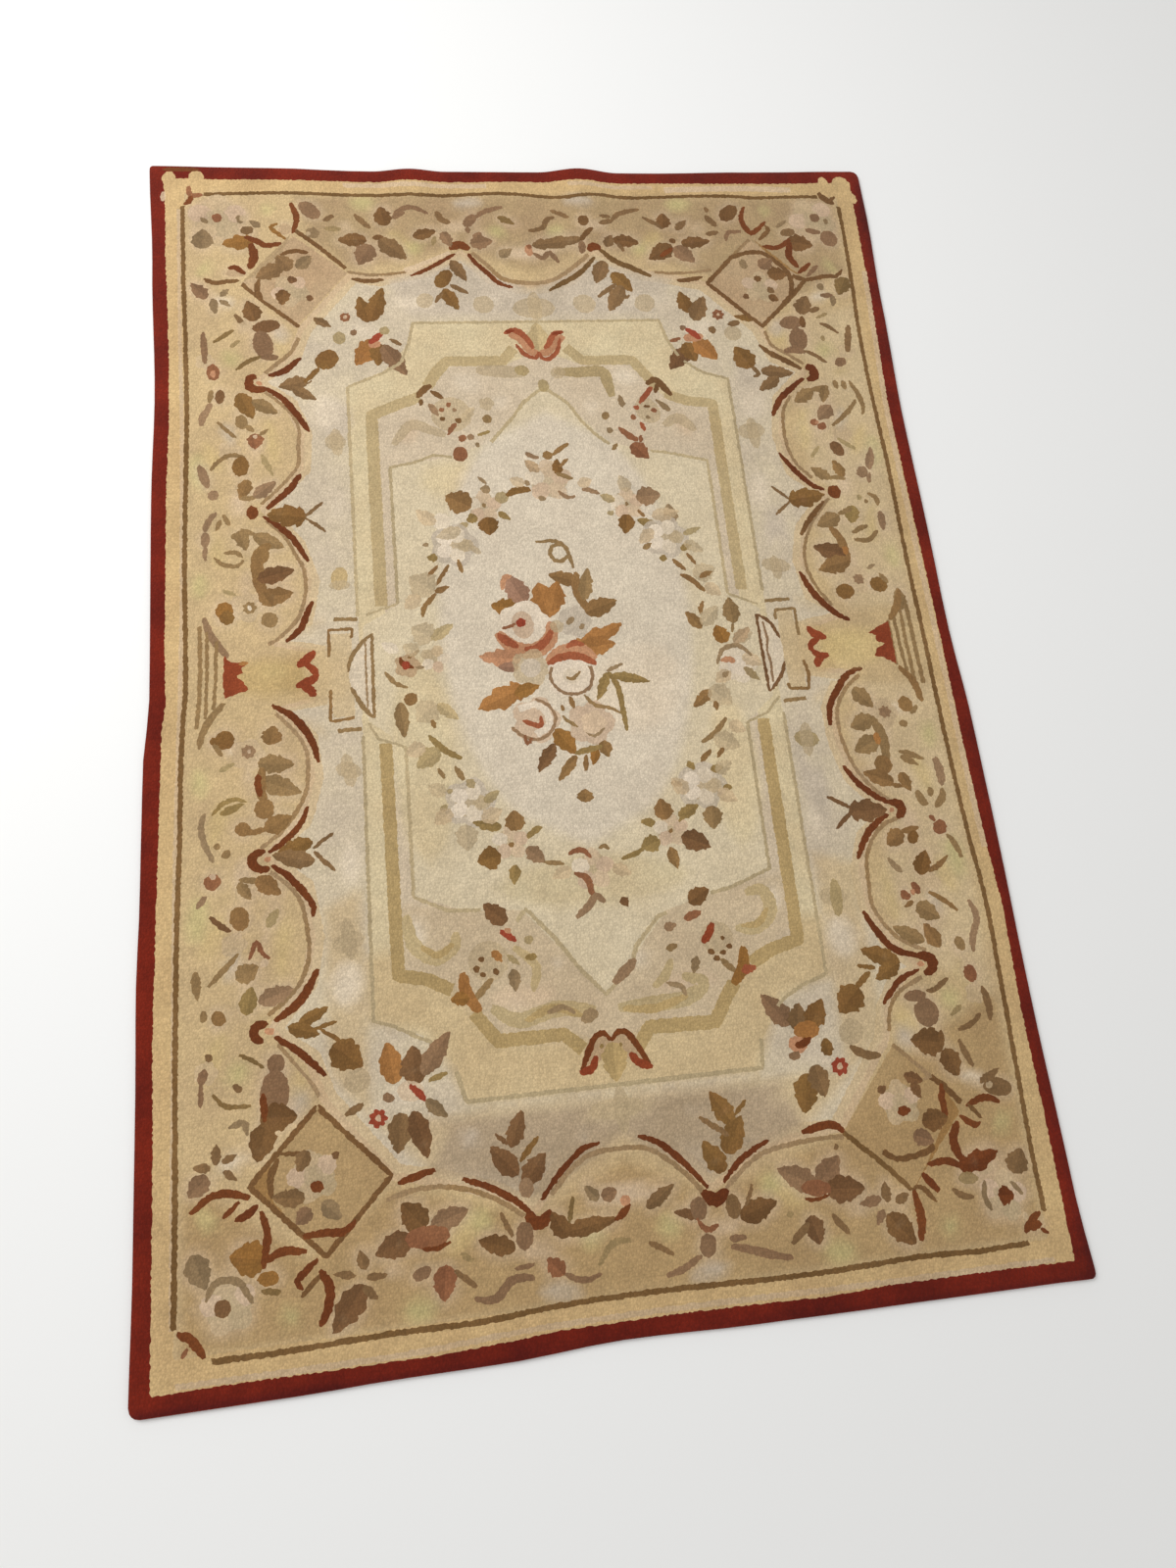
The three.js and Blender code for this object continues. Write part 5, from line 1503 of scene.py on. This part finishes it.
# The bouquet inside the wreath
BOUQUET = [
    (stroke, "taupe", 7, (-36, 200), (-5, 200), (9, 190), (14, 176), (19, 152)),
    (arc, "taupe", 7, (4, 195), (-10, 192), (-15, 180), (-9, 168), (2, 166), (12, 174)),
    (leaf, "brown", 22, (24, 130), (-22, 144)),
    (stroke, "brown", 15, (22, 146), (20, 118), (26, 98), (36, 80)),
    (leaf, "taupe", 20, (30, 98), (40, 154)),
    (leaf, "brown", 28, (28, 78), (80, 96)),
    (bloom, "lilac", 54, (12, 64)),
    (oval, "ash", 10, (0, 60), (10, 72)),
    (oval, "ash", 8, (18, 52), (26, 60)),
    (leaf, "dusky", 33, (-60, 98), (-84, 146)),
    (stroke, "salmon", 9, (-92, 122), (-88, 142), (-76, 144)),
    (lobed, "orange", 52, (-26, 72), (-38, 132)),
    (leaf, "orange", 32, (-22, 84), (-8, 132)),
    (leaf, "ochre", 28, (-72, 88), (-112, 98)),
    (bloom, "snow", 84, (-64, 62)),
    (oval, "petal", 44, (-84, 62), (-50, 64)),
    (stroke, "snow", 12, (-94, 80), (-64, 96), (-40, 78), (-36, 56)),
    (stroke, "salmon", 25, (-106, 52), (-84, 28), (-54, 20), (-28, 38), (-24, 66)),
    (stroke, "ember", 13, (-106, 50), (-92, 38), (-76, 28)),
    (stroke, "ember", 13, (-68, 24), (-50, 24), (-34, 36), (-24, 54)),
    (oval, "crimson", 14, (-76, 64), (-62, 70)),
    (stroke, "rose", 6, (-98, 59), (-86, 62), (-76, 66)),
    (lobed, "salmon", 34, (-74, 8), (-136, 16)),
    (leaf, "dusky", 16, (-78, -4), (-110, -2)),
    (bloom, "mist", 62, (-60, -6)),
    (oval, "lilac", 30, (-76, -10), (-46, -2)),
    (lobed, "orange", 38, (4, 14), (84, 58)),
    (leaf, "orange", 30, (14, 20), (70, 26)),
    (oval, "mist", 20, (-26, 62), (-6, 54)),
    (lobed, "orange", 42, (-72, -36), (-143, -66)),
    (leaf, "ochre", 20, (-88, -46), (-50, -34)),
    (bloom, "snow", 76, (-2, -22)),
    (stroke, "salmon", 22, (-36, 2), (-14, 16), (14, 18), (38, 2)),
    (stroke, "ember", 13, (-36, -2), (-14, 8), (12, 8), (38, -6)),
    (stroke, "ember", 10, (-4, 22), (6, 30), (22, 26)),
    (oval, "pearl", 26, (-14, -24), (12, -22)),
    (arc, "mauve", 5, (-30, -6), (-33, -26), (-20, -46), (2, -52), (22, -44), (30, -26), (27, -8)),
    (stroke, "taupe", 6, (-10, -24), (-2, -28), (13, -16)),
    (bloom, "petal", 74, (-60, -88)),
    (arc, "snow", 11, (-84, -70), (-60, -64), (-44, -76), (-42, -98), (-62, -110)),
    (stroke, "ember", 8, (-80, -88), (-66, -94), (-54, -98), (-52, -82)),
    (arc, "mauve", 5, (-58, -56), (-40, -66), (-31, -88), (-44, -112), (-66, -118), (-86, -108), (-96, -96)),
    (stroke, "rose", 7, (-78, -110), (-76, -124), (-68, -114)),
    (bloom, "petal", 72, (20, -98)),
    (bloom, "blush", 40, (24, -98)),
    (stroke, "taupe", 6, (14, -53), (28, -70), (52, -77), (67, -88)),
    (stroke, "taupe", 6, (-22, -84), (-12, -94), (0, -103)),
    (stroke, "ash", 5, (10, -112), (24, -118), (40, -106)),
    (leaf, "olive", 15, (54, -20), (33, -64)),
    (stroke, "olive", 9, (54, -20), (66, -45), (69, -80), (72, -114)),
    (leaf, "olive", 15, (58, -24), (116, -39)),
    (stroke, "ash", 6, (52, -18), (78, -7)),
    (oval, "brown", 8, (-8, -54), (-2, -74)),
    (oval, "brown", 6, (-22, -66), (-18, -78)),
    (leaf, "ochre", 26, (-34, -104), (-6, -144)),
    (leaf, "plum", 19, (-36, -126), (-64, -168)),
    (leaf, "brown", 15, (-6, -146), (-36, -183)),
    (stroke, "brown", 8, (8, -146), (4, -171)),
    (leaf, "ochre", 14, (24, -136), (16, -163)),
    (leaf, "brown", 20, (34, -126), (40, -152)),
    (stroke, "olive", 10, (-8, -143), (10, -139), (32, -134)),
]

BORDER = [*SCALLOPS, *FIELD_SPRAYS, *FIELD_CORNERS, *DIAMONDS, *CORNERS, *END_ROWS, *SIDE_COLUMNS]
MIDDLE = [*PANEL_FRAME, *PLINTHS, *BASKETS, *WREATH, *BOUQUET]


def mirrored(marks):
    """The marks of one quarter of the rug, in all four."""
    return [(shape, wool, width, *((sx * x, sy * y) for x, y in points))
            for sx in (1, -1) for sy in (1, -1) for shape, wool, width, *points in marks]


def tips(marks):
    """A soft patch of another tone on each larger leaf, in its outer or inner part in turn."""
    turn = 0
    patches = []
    for shape, _, width, *points in marks:
        if shape in (leaf, lobed) and width >= TIP_LEAF:
            (x0, y0), (x1, y1) = points[0], points[-1]
            start, end = TIP_PART[turn % len(TIP_PART)]
            patches.append((cloud, TIP_WOOLS[turn % len(TIP_WOOLS)], width * TIP_SHARE,
                            (x0 + (x1 - x0) * start, y0 + (y1 - y0) * start),
                            (x0 + (x1 - x0) * end, y0 + (y1 - y0) * end)))
            turn += 1
    return patches


def halos(marks):
    """A soft pale patch under each leaf and flower."""
    patches = []
    for shape, _, width, base, *rest in marks:
        if shape in (leaf, lobed, oval) and width > HALO_LEAF:
            reach = np.subtract(rest[-1], base)
            reach = reach * HALO / max(np.linalg.norm(reach), 1)
            patches.append((cloud, "halo", width + 2 * HALO, base - reach, rest[-1] + reach))
    return patches


# From marks to faces
def stitched(outline, rng):
    """The outline in steps of one stitch, each step a little in or out."""
    closed = np.vstack([outline, outline[:1]])
    travel = np.concatenate([[0], np.cumsum(np.linalg.norm(np.diff(closed, axis=0), axis=1))])
    stops = np.linspace(0, travel[-1], max(LEAST_STEPS, round(travel[-1] / STITCH)), endpoint=False)
    steps = np.column_stack([np.interp(stops, travel, closed[:, axis]) for axis in (0, 1)])
    return steps + rng.uniform(-EDGE_STEP, EDGE_STEP, steps.shape)


def inside(points, outline):
    """Which of the points lie inside a closed outline."""
    result = np.zeros(len(points), bool)
    x, y = points[:, 0], points[:, 1]
    for (ax, ay), (bx, by) in zip(outline, np.roll(outline, -1, axis=0)):
        if ay != by:
            result ^= ((ay > y) != (by > y)) & (x < (bx - ax) * (y - ay) / (by - ay) + ax)
    return result


def distance_to(points, outline):
    """How far each point is from the nearest side of an outline."""
    side = np.roll(outline, -1, axis=0) - outline
    offset = points[:, None] - outline
    share = np.clip((offset * side).sum(2) / np.maximum((side**2).sum(1), TINY), 0, 1)
    return np.linalg.norm(offset - share[..., None] * side, axis=2).min(axis=1)


def ease(t):
    """A smooth rise from 0 to 1."""
    t = np.clip(t, 0, 1)
    return t * t * (3 - 2 * t)


def linear(rgb):
    """A colour of 0 to 255 as linear light, by the usual sRGB curve."""
    value = np.asarray(rgb, float) / 255
    return np.where(value <= 0.04045, value / 12.92, ((value + 0.055) / 1.055) ** 2.4)


def shading(mark, corners, centres, rng):
    """How light each corner of a mark's faces is: a leaf differs from base to tip and between its halves."""
    shape, _, width, base, *rest = mark
    tone = 1 if shape in (area, wash) else rng.uniform(1 - TONE, 1 + TONE)
    grade = GRADE * rng.uniform(BACK_GRADE, 1)
    fold = FOLD * rng.choice((-1, 1)) * (width > FOLD_WIDTH)
    if shape not in (leaf, lobed, oval):
        return np.full(corners.shape[:2], tone)
    base = np.asarray(base)
    axis = np.subtract(rest[-1], base)
    share = (corners - base) @ axis / (axis @ axis)
    side = np.sign((centres - base) @ (-axis[1], axis[0])) * (shape is not oval)
    return tone * (1 + grade * (share - 0.5) + fold * side[:, None])


def soft_cover(plan, faces, outline, cover):
    """The faces that a soft patch reaches, and how much of each of their corners it covers."""
    near = np.flatnonzero(((plan >= outline.min(axis=0)) & (plan <= outline.max(axis=0))).all(axis=1))
    held = near[inside(plan[near], outline)]
    weights = np.zeros(len(plan))
    weights[held] = cover * ease(distance_to(plan[held], outline) / FEATHER)
    hit = np.flatnonzero(weights[faces].any(axis=1))
    return hit, weights[faces[hit]][..., None]


def faces_inside(centres, outline):
    """The faces whose middles lie inside an outline."""
    near = np.flatnonzero(((centres >= outline.min(axis=0)) & (centres <= outline.max(axis=0))).all(axis=1))
    return near[inside(centres[near], outline)]


def paint(plan, faces, marks, outlines, rng):
    """The usual and the drifted colour of each face's corners, as linear RGB."""
    corners = plan[faces]
    centres = corners.mean(axis=1)
    usual, drifted = (np.tile(linear(colour), (len(faces), 3, 1)) for colour in WOOLS["red"][:2])
    for mark, outline in zip(marks, outlines):
        shape, wool = mark[:2]
        main, drift, cover = WOOLS[wool]
        if shape in (cloud, wash):
            hit, weight = soft_cover(plan, faces, outline, cover)
        else:
            hit, weight = faces_inside(centres, outline), cover
        light = shading(mark, corners[hit], centres[hit], rng)[..., None]
        usual[hit] += (linear(main) * light - usual[hit]) * weight
        drifted[hit] += (linear(drift) * light - drifted[hit]) * weight
    return usual.reshape(-1, 3), drifted.reshape(-1, 3)


def triangulate(loops, loose, boundary, lines=()):
    """Flat triangles inside the boundary, whose edges follow all loops and lines, with loose points too."""
    points = [tuple(point) for run in (*loops, *lines, loose) for point in run]
    edges = []
    start = 0
    for loop in loops:
        edges += [(start + i, start + (i + 1) % len(loop)) for i in range(len(loop))]
        start += len(loop)
    for run in lines:
        edges += [(start + i, start + i + 1) for i in range(len(run) - 1)]
        start += len(run)
    verts, _, faces, *_ = delaunay_2d_cdt(points, edges, [], 0, SNAP, False)
    plan = np.array([vert[:] for vert in verts])
    faces = np.array(faces)
    return plan, faces[inside(plan[faces].mean(axis=1), boundary)]


def grid_points(boundary, step, rng):
    """Points in uneven rows inside a boundary."""
    low, high = boundary.min(axis=0), boundary.max(axis=0)
    x, y = np.meshgrid(np.arange(low[0], high[0], step), np.arange(low[1], high[1], step * ROW_SHARE))
    x[1::2] += step / 2
    points = np.column_stack([x.ravel(), y.ravel()])
    points += rng.uniform(-UNEVEN * step, UNEVEN * step, points.shape)
    return points[inside(points, inset(boundary, step / 2))]


def rim_line(packed):
    """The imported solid's outline on the plan, where its faces stop facing up, anticlockwise."""
    solid = bmesh.new()
    solid.from_mesh(packed.data)
    bmesh.ops.remove_doubles(solid, verts=solid.verts, dist=SAME)
    turns = [edge for edge in solid.edges if len({face.normal.z > 0 for face in edge.link_faces}) == 2]
    points = np.array(sorted({(round(vert.co.x / MM, 2), round(vert.co.y / MM, 2))
                              for edge in turns for vert in edge.verts}))
    solid.free()
    return points[np.argsort(np.arctan2(points[:, 1], points[:, 0]))]


def settle(coords):
    """Lifts the flat sheet into its ripples, and makes its face a little uneven."""
    x, y, z = coords.T
    for crest, half_width, rise, run in RIPPLES:
        z = z + rise * (1 - ease(np.abs(x - crest) / half_width)) * (1 - ease((HALF_LENGTH - y) / run))
    waves = np.array([noise.noise(Vector((px, py, SEED)) / RELIEF_SPAN) for px, py in zip(x, y)])
    return np.column_stack([x, y, z + RELIEF * waves * coords[:, 2] / THICKNESS])


def veins(marks):
    """The lines between the two halves of the leaves."""
    return [straight_path((base, tip), 2 * STITCH) for shape, _, width, base, *rest in marks
            if shape in (leaf, lobed) and width > FOLD_WIDTH for tip in rest]


def all_marks():
    """Every mark of the rug, from the lowest to the topmost."""
    return [*GROUND, *WASHES, *mirrored(MOTTLES), *halos([*CORNERS, *END_ROWS, *SIDE_COLUMNS]), *GUARDS,
            *BORDER, *tips(BORDER), *MIDDLE]


def face_part(edge, rng):
    """The stitched face: its points, triangles and corner colours."""
    boundary = inset(edge, RIM[0][0])
    marks = all_marks()
    outlines = [shape(width, *points) if shape in (cloud, wash) else stitched(shape(width, *points), rng)
                for shape, _, width, *points in marks]
    hard = [outline for mark, outline in zip(marks, outlines) if mark[0] not in (cloud, wash)]
    plan, faces = triangulate([boundary, *hard], grid_points(boundary, GRID, rng), boundary, veins(marks))
    usual, drifted = paint(plan, faces, marks, outlines, rng)
    return np.column_stack([plan, np.full(len(plan), THICKNESS)]), faces, usual, drifted


def plain_colours(wool, count):
    """The usual and the drifted colour of a number of corners, all in one wool."""
    return [np.tile(linear(colour), (count, 1)) for colour in WOOLS[wool][:2]]


def rim_part(edge):
    """The rounded rim, in red wool."""
    coords = np.vstack([np.column_stack([inset(edge, inward), np.full(len(edge), height)])
                        for inward, height in RIM])
    count = len(edge)
    faces = []
    for ring in range(len(RIM) - 1):
        for i in range(count):
            a, b = ring * count + i, ring * count + (i + 1) % count
            faces += [(a, a + count, b + count), (a, b + count, b)]
    return coords, np.array(faces), *plain_colours("red", 3 * len(faces))


def under_part(edge, rng):
    """The underside: the edge turned under as a hem, and the backing inside it."""
    outer = inset(edge, RIM[-1][0])
    hem = inset(edge, HEM)
    step = inset(edge, HEM + HEM_STEP)
    plan, faces = triangulate([outer, hem, step], grid_points(step, UNDER_GRID, rng), outer)
    coords = np.column_stack([plan, HEM_HEIGHT * ease(inside(plan, inset(hem, HEM_STEP / 4)))])
    backed = np.repeat(inside(plan[faces].mean(axis=1), hem), 3)[:, None]
    usual, drifted = (np.where(backed, back, red) for back, red in
                      zip(plain_colours("backing", len(backed)), plain_colours("red", len(backed))))
    return coords, faces[:, ::-1], usual, drifted


def paint_layer(mesh, name, colours):
    """A colour for each corner of the mesh, as one of its layers."""
    layer = mesh.color_attributes.new(name=name, type="FLOAT_COLOR", domain="CORNER")
    layer.data.foreach_set("color", np.column_stack([colours, np.ones(len(colours))]).astype("f").ravel())


def weld(mesh):
    """Joins the parts where their points meet."""
    joined = bmesh.new()
    joined.from_mesh(mesh)
    bmesh.ops.remove_doubles(joined, verts=joined.verts, dist=WELD)
    joined.to_mesh(mesh)
    joined.free()


def rug_mesh(packed):
    """The whole rug as one mesh: the face, the rim and the underside."""
    rng = np.random.default_rng(SEED)
    rim = rim_line(packed)
    edge = straight_path([*rim, rim[0]], EDGE_SPACING)[:-1]
    parts = [face_part(edge, rng), rim_part(edge), under_part(edge, rng)]
    coords, faces, usual, drifted = zip(*parts)
    starts = np.cumsum([0] + [len(points) for points in coords])
    faces = np.vstack([part + start for part, start in zip(faces, starts)])
    mesh = bpy.data.meshes.new("stitched_rug")
    mesh.from_pydata((settle(np.vstack(coords)) * MM).tolist(), [], faces.tolist())
    paint_layer(mesh, "wool", np.vstack(usual))
    paint_layer(mesh, "drift", np.vstack(drifted))
    weld(mesh)
    mesh.shade_smooth()
    return mesh


# The wool's material. Sizes are in metres from here on
DYE_SPAN = 0.085  # width of a spot where the dye drifts
DYE_DETAIL = 3.0
DYE_RANGE = (0.35, 0.65)  # the part of the texture over which it drifts
STITCH_SPAN = 0.0026  # width of one stitch
STITCH_STRETCH = (1, 0.75)  # how close the stitches are over x and y
STITCH_SPREAD = 0.8  # how far they leave their even places
YARN_LIGHT = (0.905, 1.095)  # lightness of single stitches
PAINTED_STITCH_LIGHT_SHADE = (1.06, 0.86)  # painted light and shade: lighter on a stitch's raised middle, darker at its edge, between stitches
GAP_RANGE = (0.15, 0.7)  # where in the stitch that change lies
UNEVENNESS = (  # span, stretch over x and y, detail, lightness, the part of the texture over which it changes
    (0.02, (1, 9), 2.0, (0.95, 1.05), (0.3, 0.7)),  # rows of stitches
    (0.35, (0.6, 2), 2.0, (0.96, 1.04), (0.3, 0.7)),  # lots of yarn
    (0.0008, (1, 1), 2.0, (0.9, 1.1), (0.25, 0.75)),  # fluff
    (0.025, (1, 1), 4.0, (0.94, 1.05), (0.3, 0.7)),  # soiling
)
STITCH_HEIGHT = 0.0011
STITCH_STRENGTH = 0.55
STITCH_EDGE = 0.8  # where in a stitch its height has gone down to nothing
FIBRE_SPAN = 0.0006  # width of a fibre
FIBRE_DETAIL = 2.0
FIBRE_HEIGHT = 0.0005
FIBRE_STRENGTH = 0.35
FIBRE_ROUGHNESS = (0.86, 1.0)
SPECULAR = 0.1
SHEEN = 0.04
SHEEN_ROUGHNESS = 0.6


def node(tree, kind, inputs=(), **settings):
    """A shader node with its settings, and with its inputs linked or set."""
    made = tree.nodes.new(kind)
    for name, value in settings.items():
        setattr(made, name, value)
    for name, value in dict(inputs).items():
        if isinstance(value, bpy.types.NodeSocket):
            tree.links.new(value, made.inputs[name])
        else:
            made.inputs[name].default_value = value
    return made


def uneven(tree, places, span, detail):
    """A noise whose spots are about span wide."""
    inputs = {"Vector": places, "Scale": 1 / span, "Detail": detail}
    return node(tree, "ShaderNodeTexNoise", inputs).outputs["Fac"]


def spread(tree, value, low, high, start=0.0, end=1.0):
    """A texture's value, brought from start..end to low..high."""
    inputs = {"Value": value, "From Min": start, "From Max": end, "To Min": low, "To Max": high}
    return node(tree, "ShaderNodeMapRange", inputs).outputs["Result"]


def times(tree, a, b):
    """The product of two values."""
    return node(tree, "ShaderNodeMath", {0: a, 1: b}, operation="MULTIPLY").outputs[0]


def stretched(tree, places, x, y):
    """The places of a texture, closer or wider over x and y."""
    return node(tree, "ShaderNodeVectorMath", {0: places, 1: (x, y, 1)}, operation="MULTIPLY").outputs[0]


def stitch_cells(tree, places):
    """A pattern of stitches, side by side in slightly uneven places."""
    inputs = {"Vector": stretched(tree, places, *STITCH_STRETCH), "Scale": 1 / STITCH_SPAN,
              "Randomness": STITCH_SPREAD}
    return node(tree, "ShaderNodeTexVoronoi", inputs)


def dyed_colour(tree, places):
    """The mesh's two colour layers, with spots where the dye drifts from the one to the other."""
    wool, drift = (node(tree, "ShaderNodeAttribute", attribute_name=name).outputs["Color"]
                   for name in ("wool", "drift"))
    share = spread(tree, uneven(tree, places, DYE_SPAN, DYE_DETAIL), 0, 1, *DYE_RANGE)
    return node(tree, "ShaderNodeMix", {"Factor": share, 6: wool, 7: drift}, data_type="RGBA").outputs[2]


def lightness(tree, places, cells):
    """How light the wool is: single stitches with painted light and shade, rows, lots of yarn, fluff and
    soiling.
    """
    single = node(tree, "ShaderNodeSeparateColor", {"Color": cells.outputs["Color"]}).outputs[0]
    # Painted light and shade across each stitch: lighter on its raised middle, darker where it meets the next
    painted_stitch_shade = spread(tree, cells.outputs["Distance"], *PAINTED_STITCH_LIGHT_SHADE, *GAP_RANGE)
    value = times(tree, spread(tree, single, *YARN_LIGHT), painted_stitch_shade)
    for span, stretch, detail, light, reach in UNEVENNESS:
        spots = uneven(tree, stretched(tree, places, *stretch), span, detail)
        value = times(tree, value, spread(tree, spots, *light, *reach))
    return value


def relief(tree, cells, fibres):
    """The face's relief: rounded stitches, with fibres on them."""
    height = spread(tree, cells.outputs["Distance"], 1, 0, 0, STITCH_EDGE)
    stitches = node(tree, "ShaderNodeBump", {"Height": height, "Strength": STITCH_STRENGTH,
                                             "Distance": STITCH_HEIGHT})
    fuzz = node(tree, "ShaderNodeBump", {"Height": fibres, "Strength": FIBRE_STRENGTH,
                                         "Distance": FIBRE_HEIGHT, "Normal": stitches.outputs["Normal"]})
    return fuzz.outputs["Normal"]


def wool_material():
    """Stitched wool, dyed as the two colour layers say, with uneven dye, single stitches and fibres."""
    material = bpy.data.materials.new("stitched_wool")
    material.use_nodes = True
    tree = material.node_tree
    shader = tree.nodes["Principled BSDF"]
    places = node(tree, "ShaderNodeTexCoord").outputs["Object"]
    cells = stitch_cells(tree, places)
    fibres = uneven(tree, places, FIBRE_SPAN, FIBRE_DETAIL)
    inputs = {0: dyed_colour(tree, places), 3: lightness(tree, places, cells)}
    colour = node(tree, "ShaderNodeVectorMath", inputs, operation="SCALE").outputs[0]
    tree.links.new(colour, shader.inputs["Base Color"])
    tree.links.new(relief(tree, cells, fibres), shader.inputs["Normal"])
    tree.links.new(spread(tree, fibres, *FIBRE_ROUGHNESS), shader.inputs["Roughness"])
    shader.inputs["Specular IOR Level"].default_value = SPECULAR
    shader.inputs["Sheen Weight"].default_value = SHEEN
    shader.inputs["Sheen Roughness"].default_value = SHEEN_ROUGHNESS
    return material


# The studio
FLOOR_HALF = 6.0  # half the floor's width
FLOOR_DROP = 0.0005  # how far the floor lies below the rug's underside
FLOOR_COLOUR = (0.86, 0.86, 0.85)
FLOOR_ROUGHNESS = 0.9
WORLD_COLOUR = (1.0, 0.995, 0.985)
WORLD_STRENGTH = 0.62
CAMERA_PLACE = (-0.1706, -0.5479, 1.3441)
CAMERA_TURN = (15.53, -5.91, -5.90)  # degrees about X, Y and Z
SENSOR = 36  # millimetres
LENS = 22.29  # millimetres


def plain_material(name, colour, roughness):
    """A material of one colour."""
    material = bpy.data.materials.new(name)
    material.use_nodes = True
    shader = material.node_tree.nodes["Principled BSDF"]
    shader.inputs["Base Color"].default_value = (*colour, 1)
    shader.inputs["Roughness"].default_value = roughness
    return material


def add_floor():
    """The floor of the studio, which isn't part of the rug."""
    corners = [(FLOOR_HALF * x, FLOOR_HALF * y, 0) for x, y in ((-1, -1), (1, -1), (1, 1), (-1, 1))]
    mesh = bpy.data.meshes.new("floor")
    mesh.from_pydata(corners, [], [(0, 1, 2, 3)])
    mesh.materials.append(plain_material("floor_paint", FLOOR_COLOUR, FLOOR_ROUGHNESS))
    floor = bpy.data.objects.new("floor", mesh)
    floor.location.z = -FLOOR_DROP
    bpy.context.collection.objects.link(floor)


def add_light(name, place, target, size, power):
    """A square light that faces its target."""
    light = bpy.data.lights.new(name, "AREA")
    light.size = size
    light.energy = power
    lamp = bpy.data.objects.new(name, light)
    lamp.location = place
    lamp.rotation_euler = (Vector(target) - Vector(place)).to_track_quat("-Z", "Y").to_euler()
    bpy.context.collection.objects.link(lamp)


def light_studio():
    """Even light from all around, and a large soft light from the far left."""
    world = bpy.data.worlds.new("studio")
    world.use_nodes = True
    background = world.node_tree.nodes["Background"]
    background.inputs["Color"].default_value = (*WORLD_COLOUR, 1)
    background.inputs["Strength"].default_value = WORLD_STRENGTH
    bpy.context.scene.world = world
    bpy.context.scene.view_settings.view_transform = "Standard"
    add_light("window", place=(-1.9, 1.3, 2.4), target=(-0.1, 0.1, 0), size=1.8, power=70)


def add_camera():
    """At the photograph's place, with its angle of view."""
    camera = bpy.data.objects.new("camera", bpy.data.cameras.new("camera"))
    camera.location = CAMERA_PLACE
    camera.rotation_euler = [math.radians(angle) for angle in CAMERA_TURN]
    camera.data.sensor_width = SENSOR
    camera.data.lens = LENS
    bpy.context.collection.objects.link(camera)
    bpy.context.scene.camera = camera


def main():
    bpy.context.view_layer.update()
    rug = bpy.data.objects.new("stitched_rug", rug_mesh(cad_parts["rug"]))
    rug.data.materials.append(wool_material())
    bpy.context.collection.objects.link(rug)
    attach(rug, "root")
    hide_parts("rug")
    add_floor()
    light_studio()
    add_camera()
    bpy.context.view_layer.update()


main()
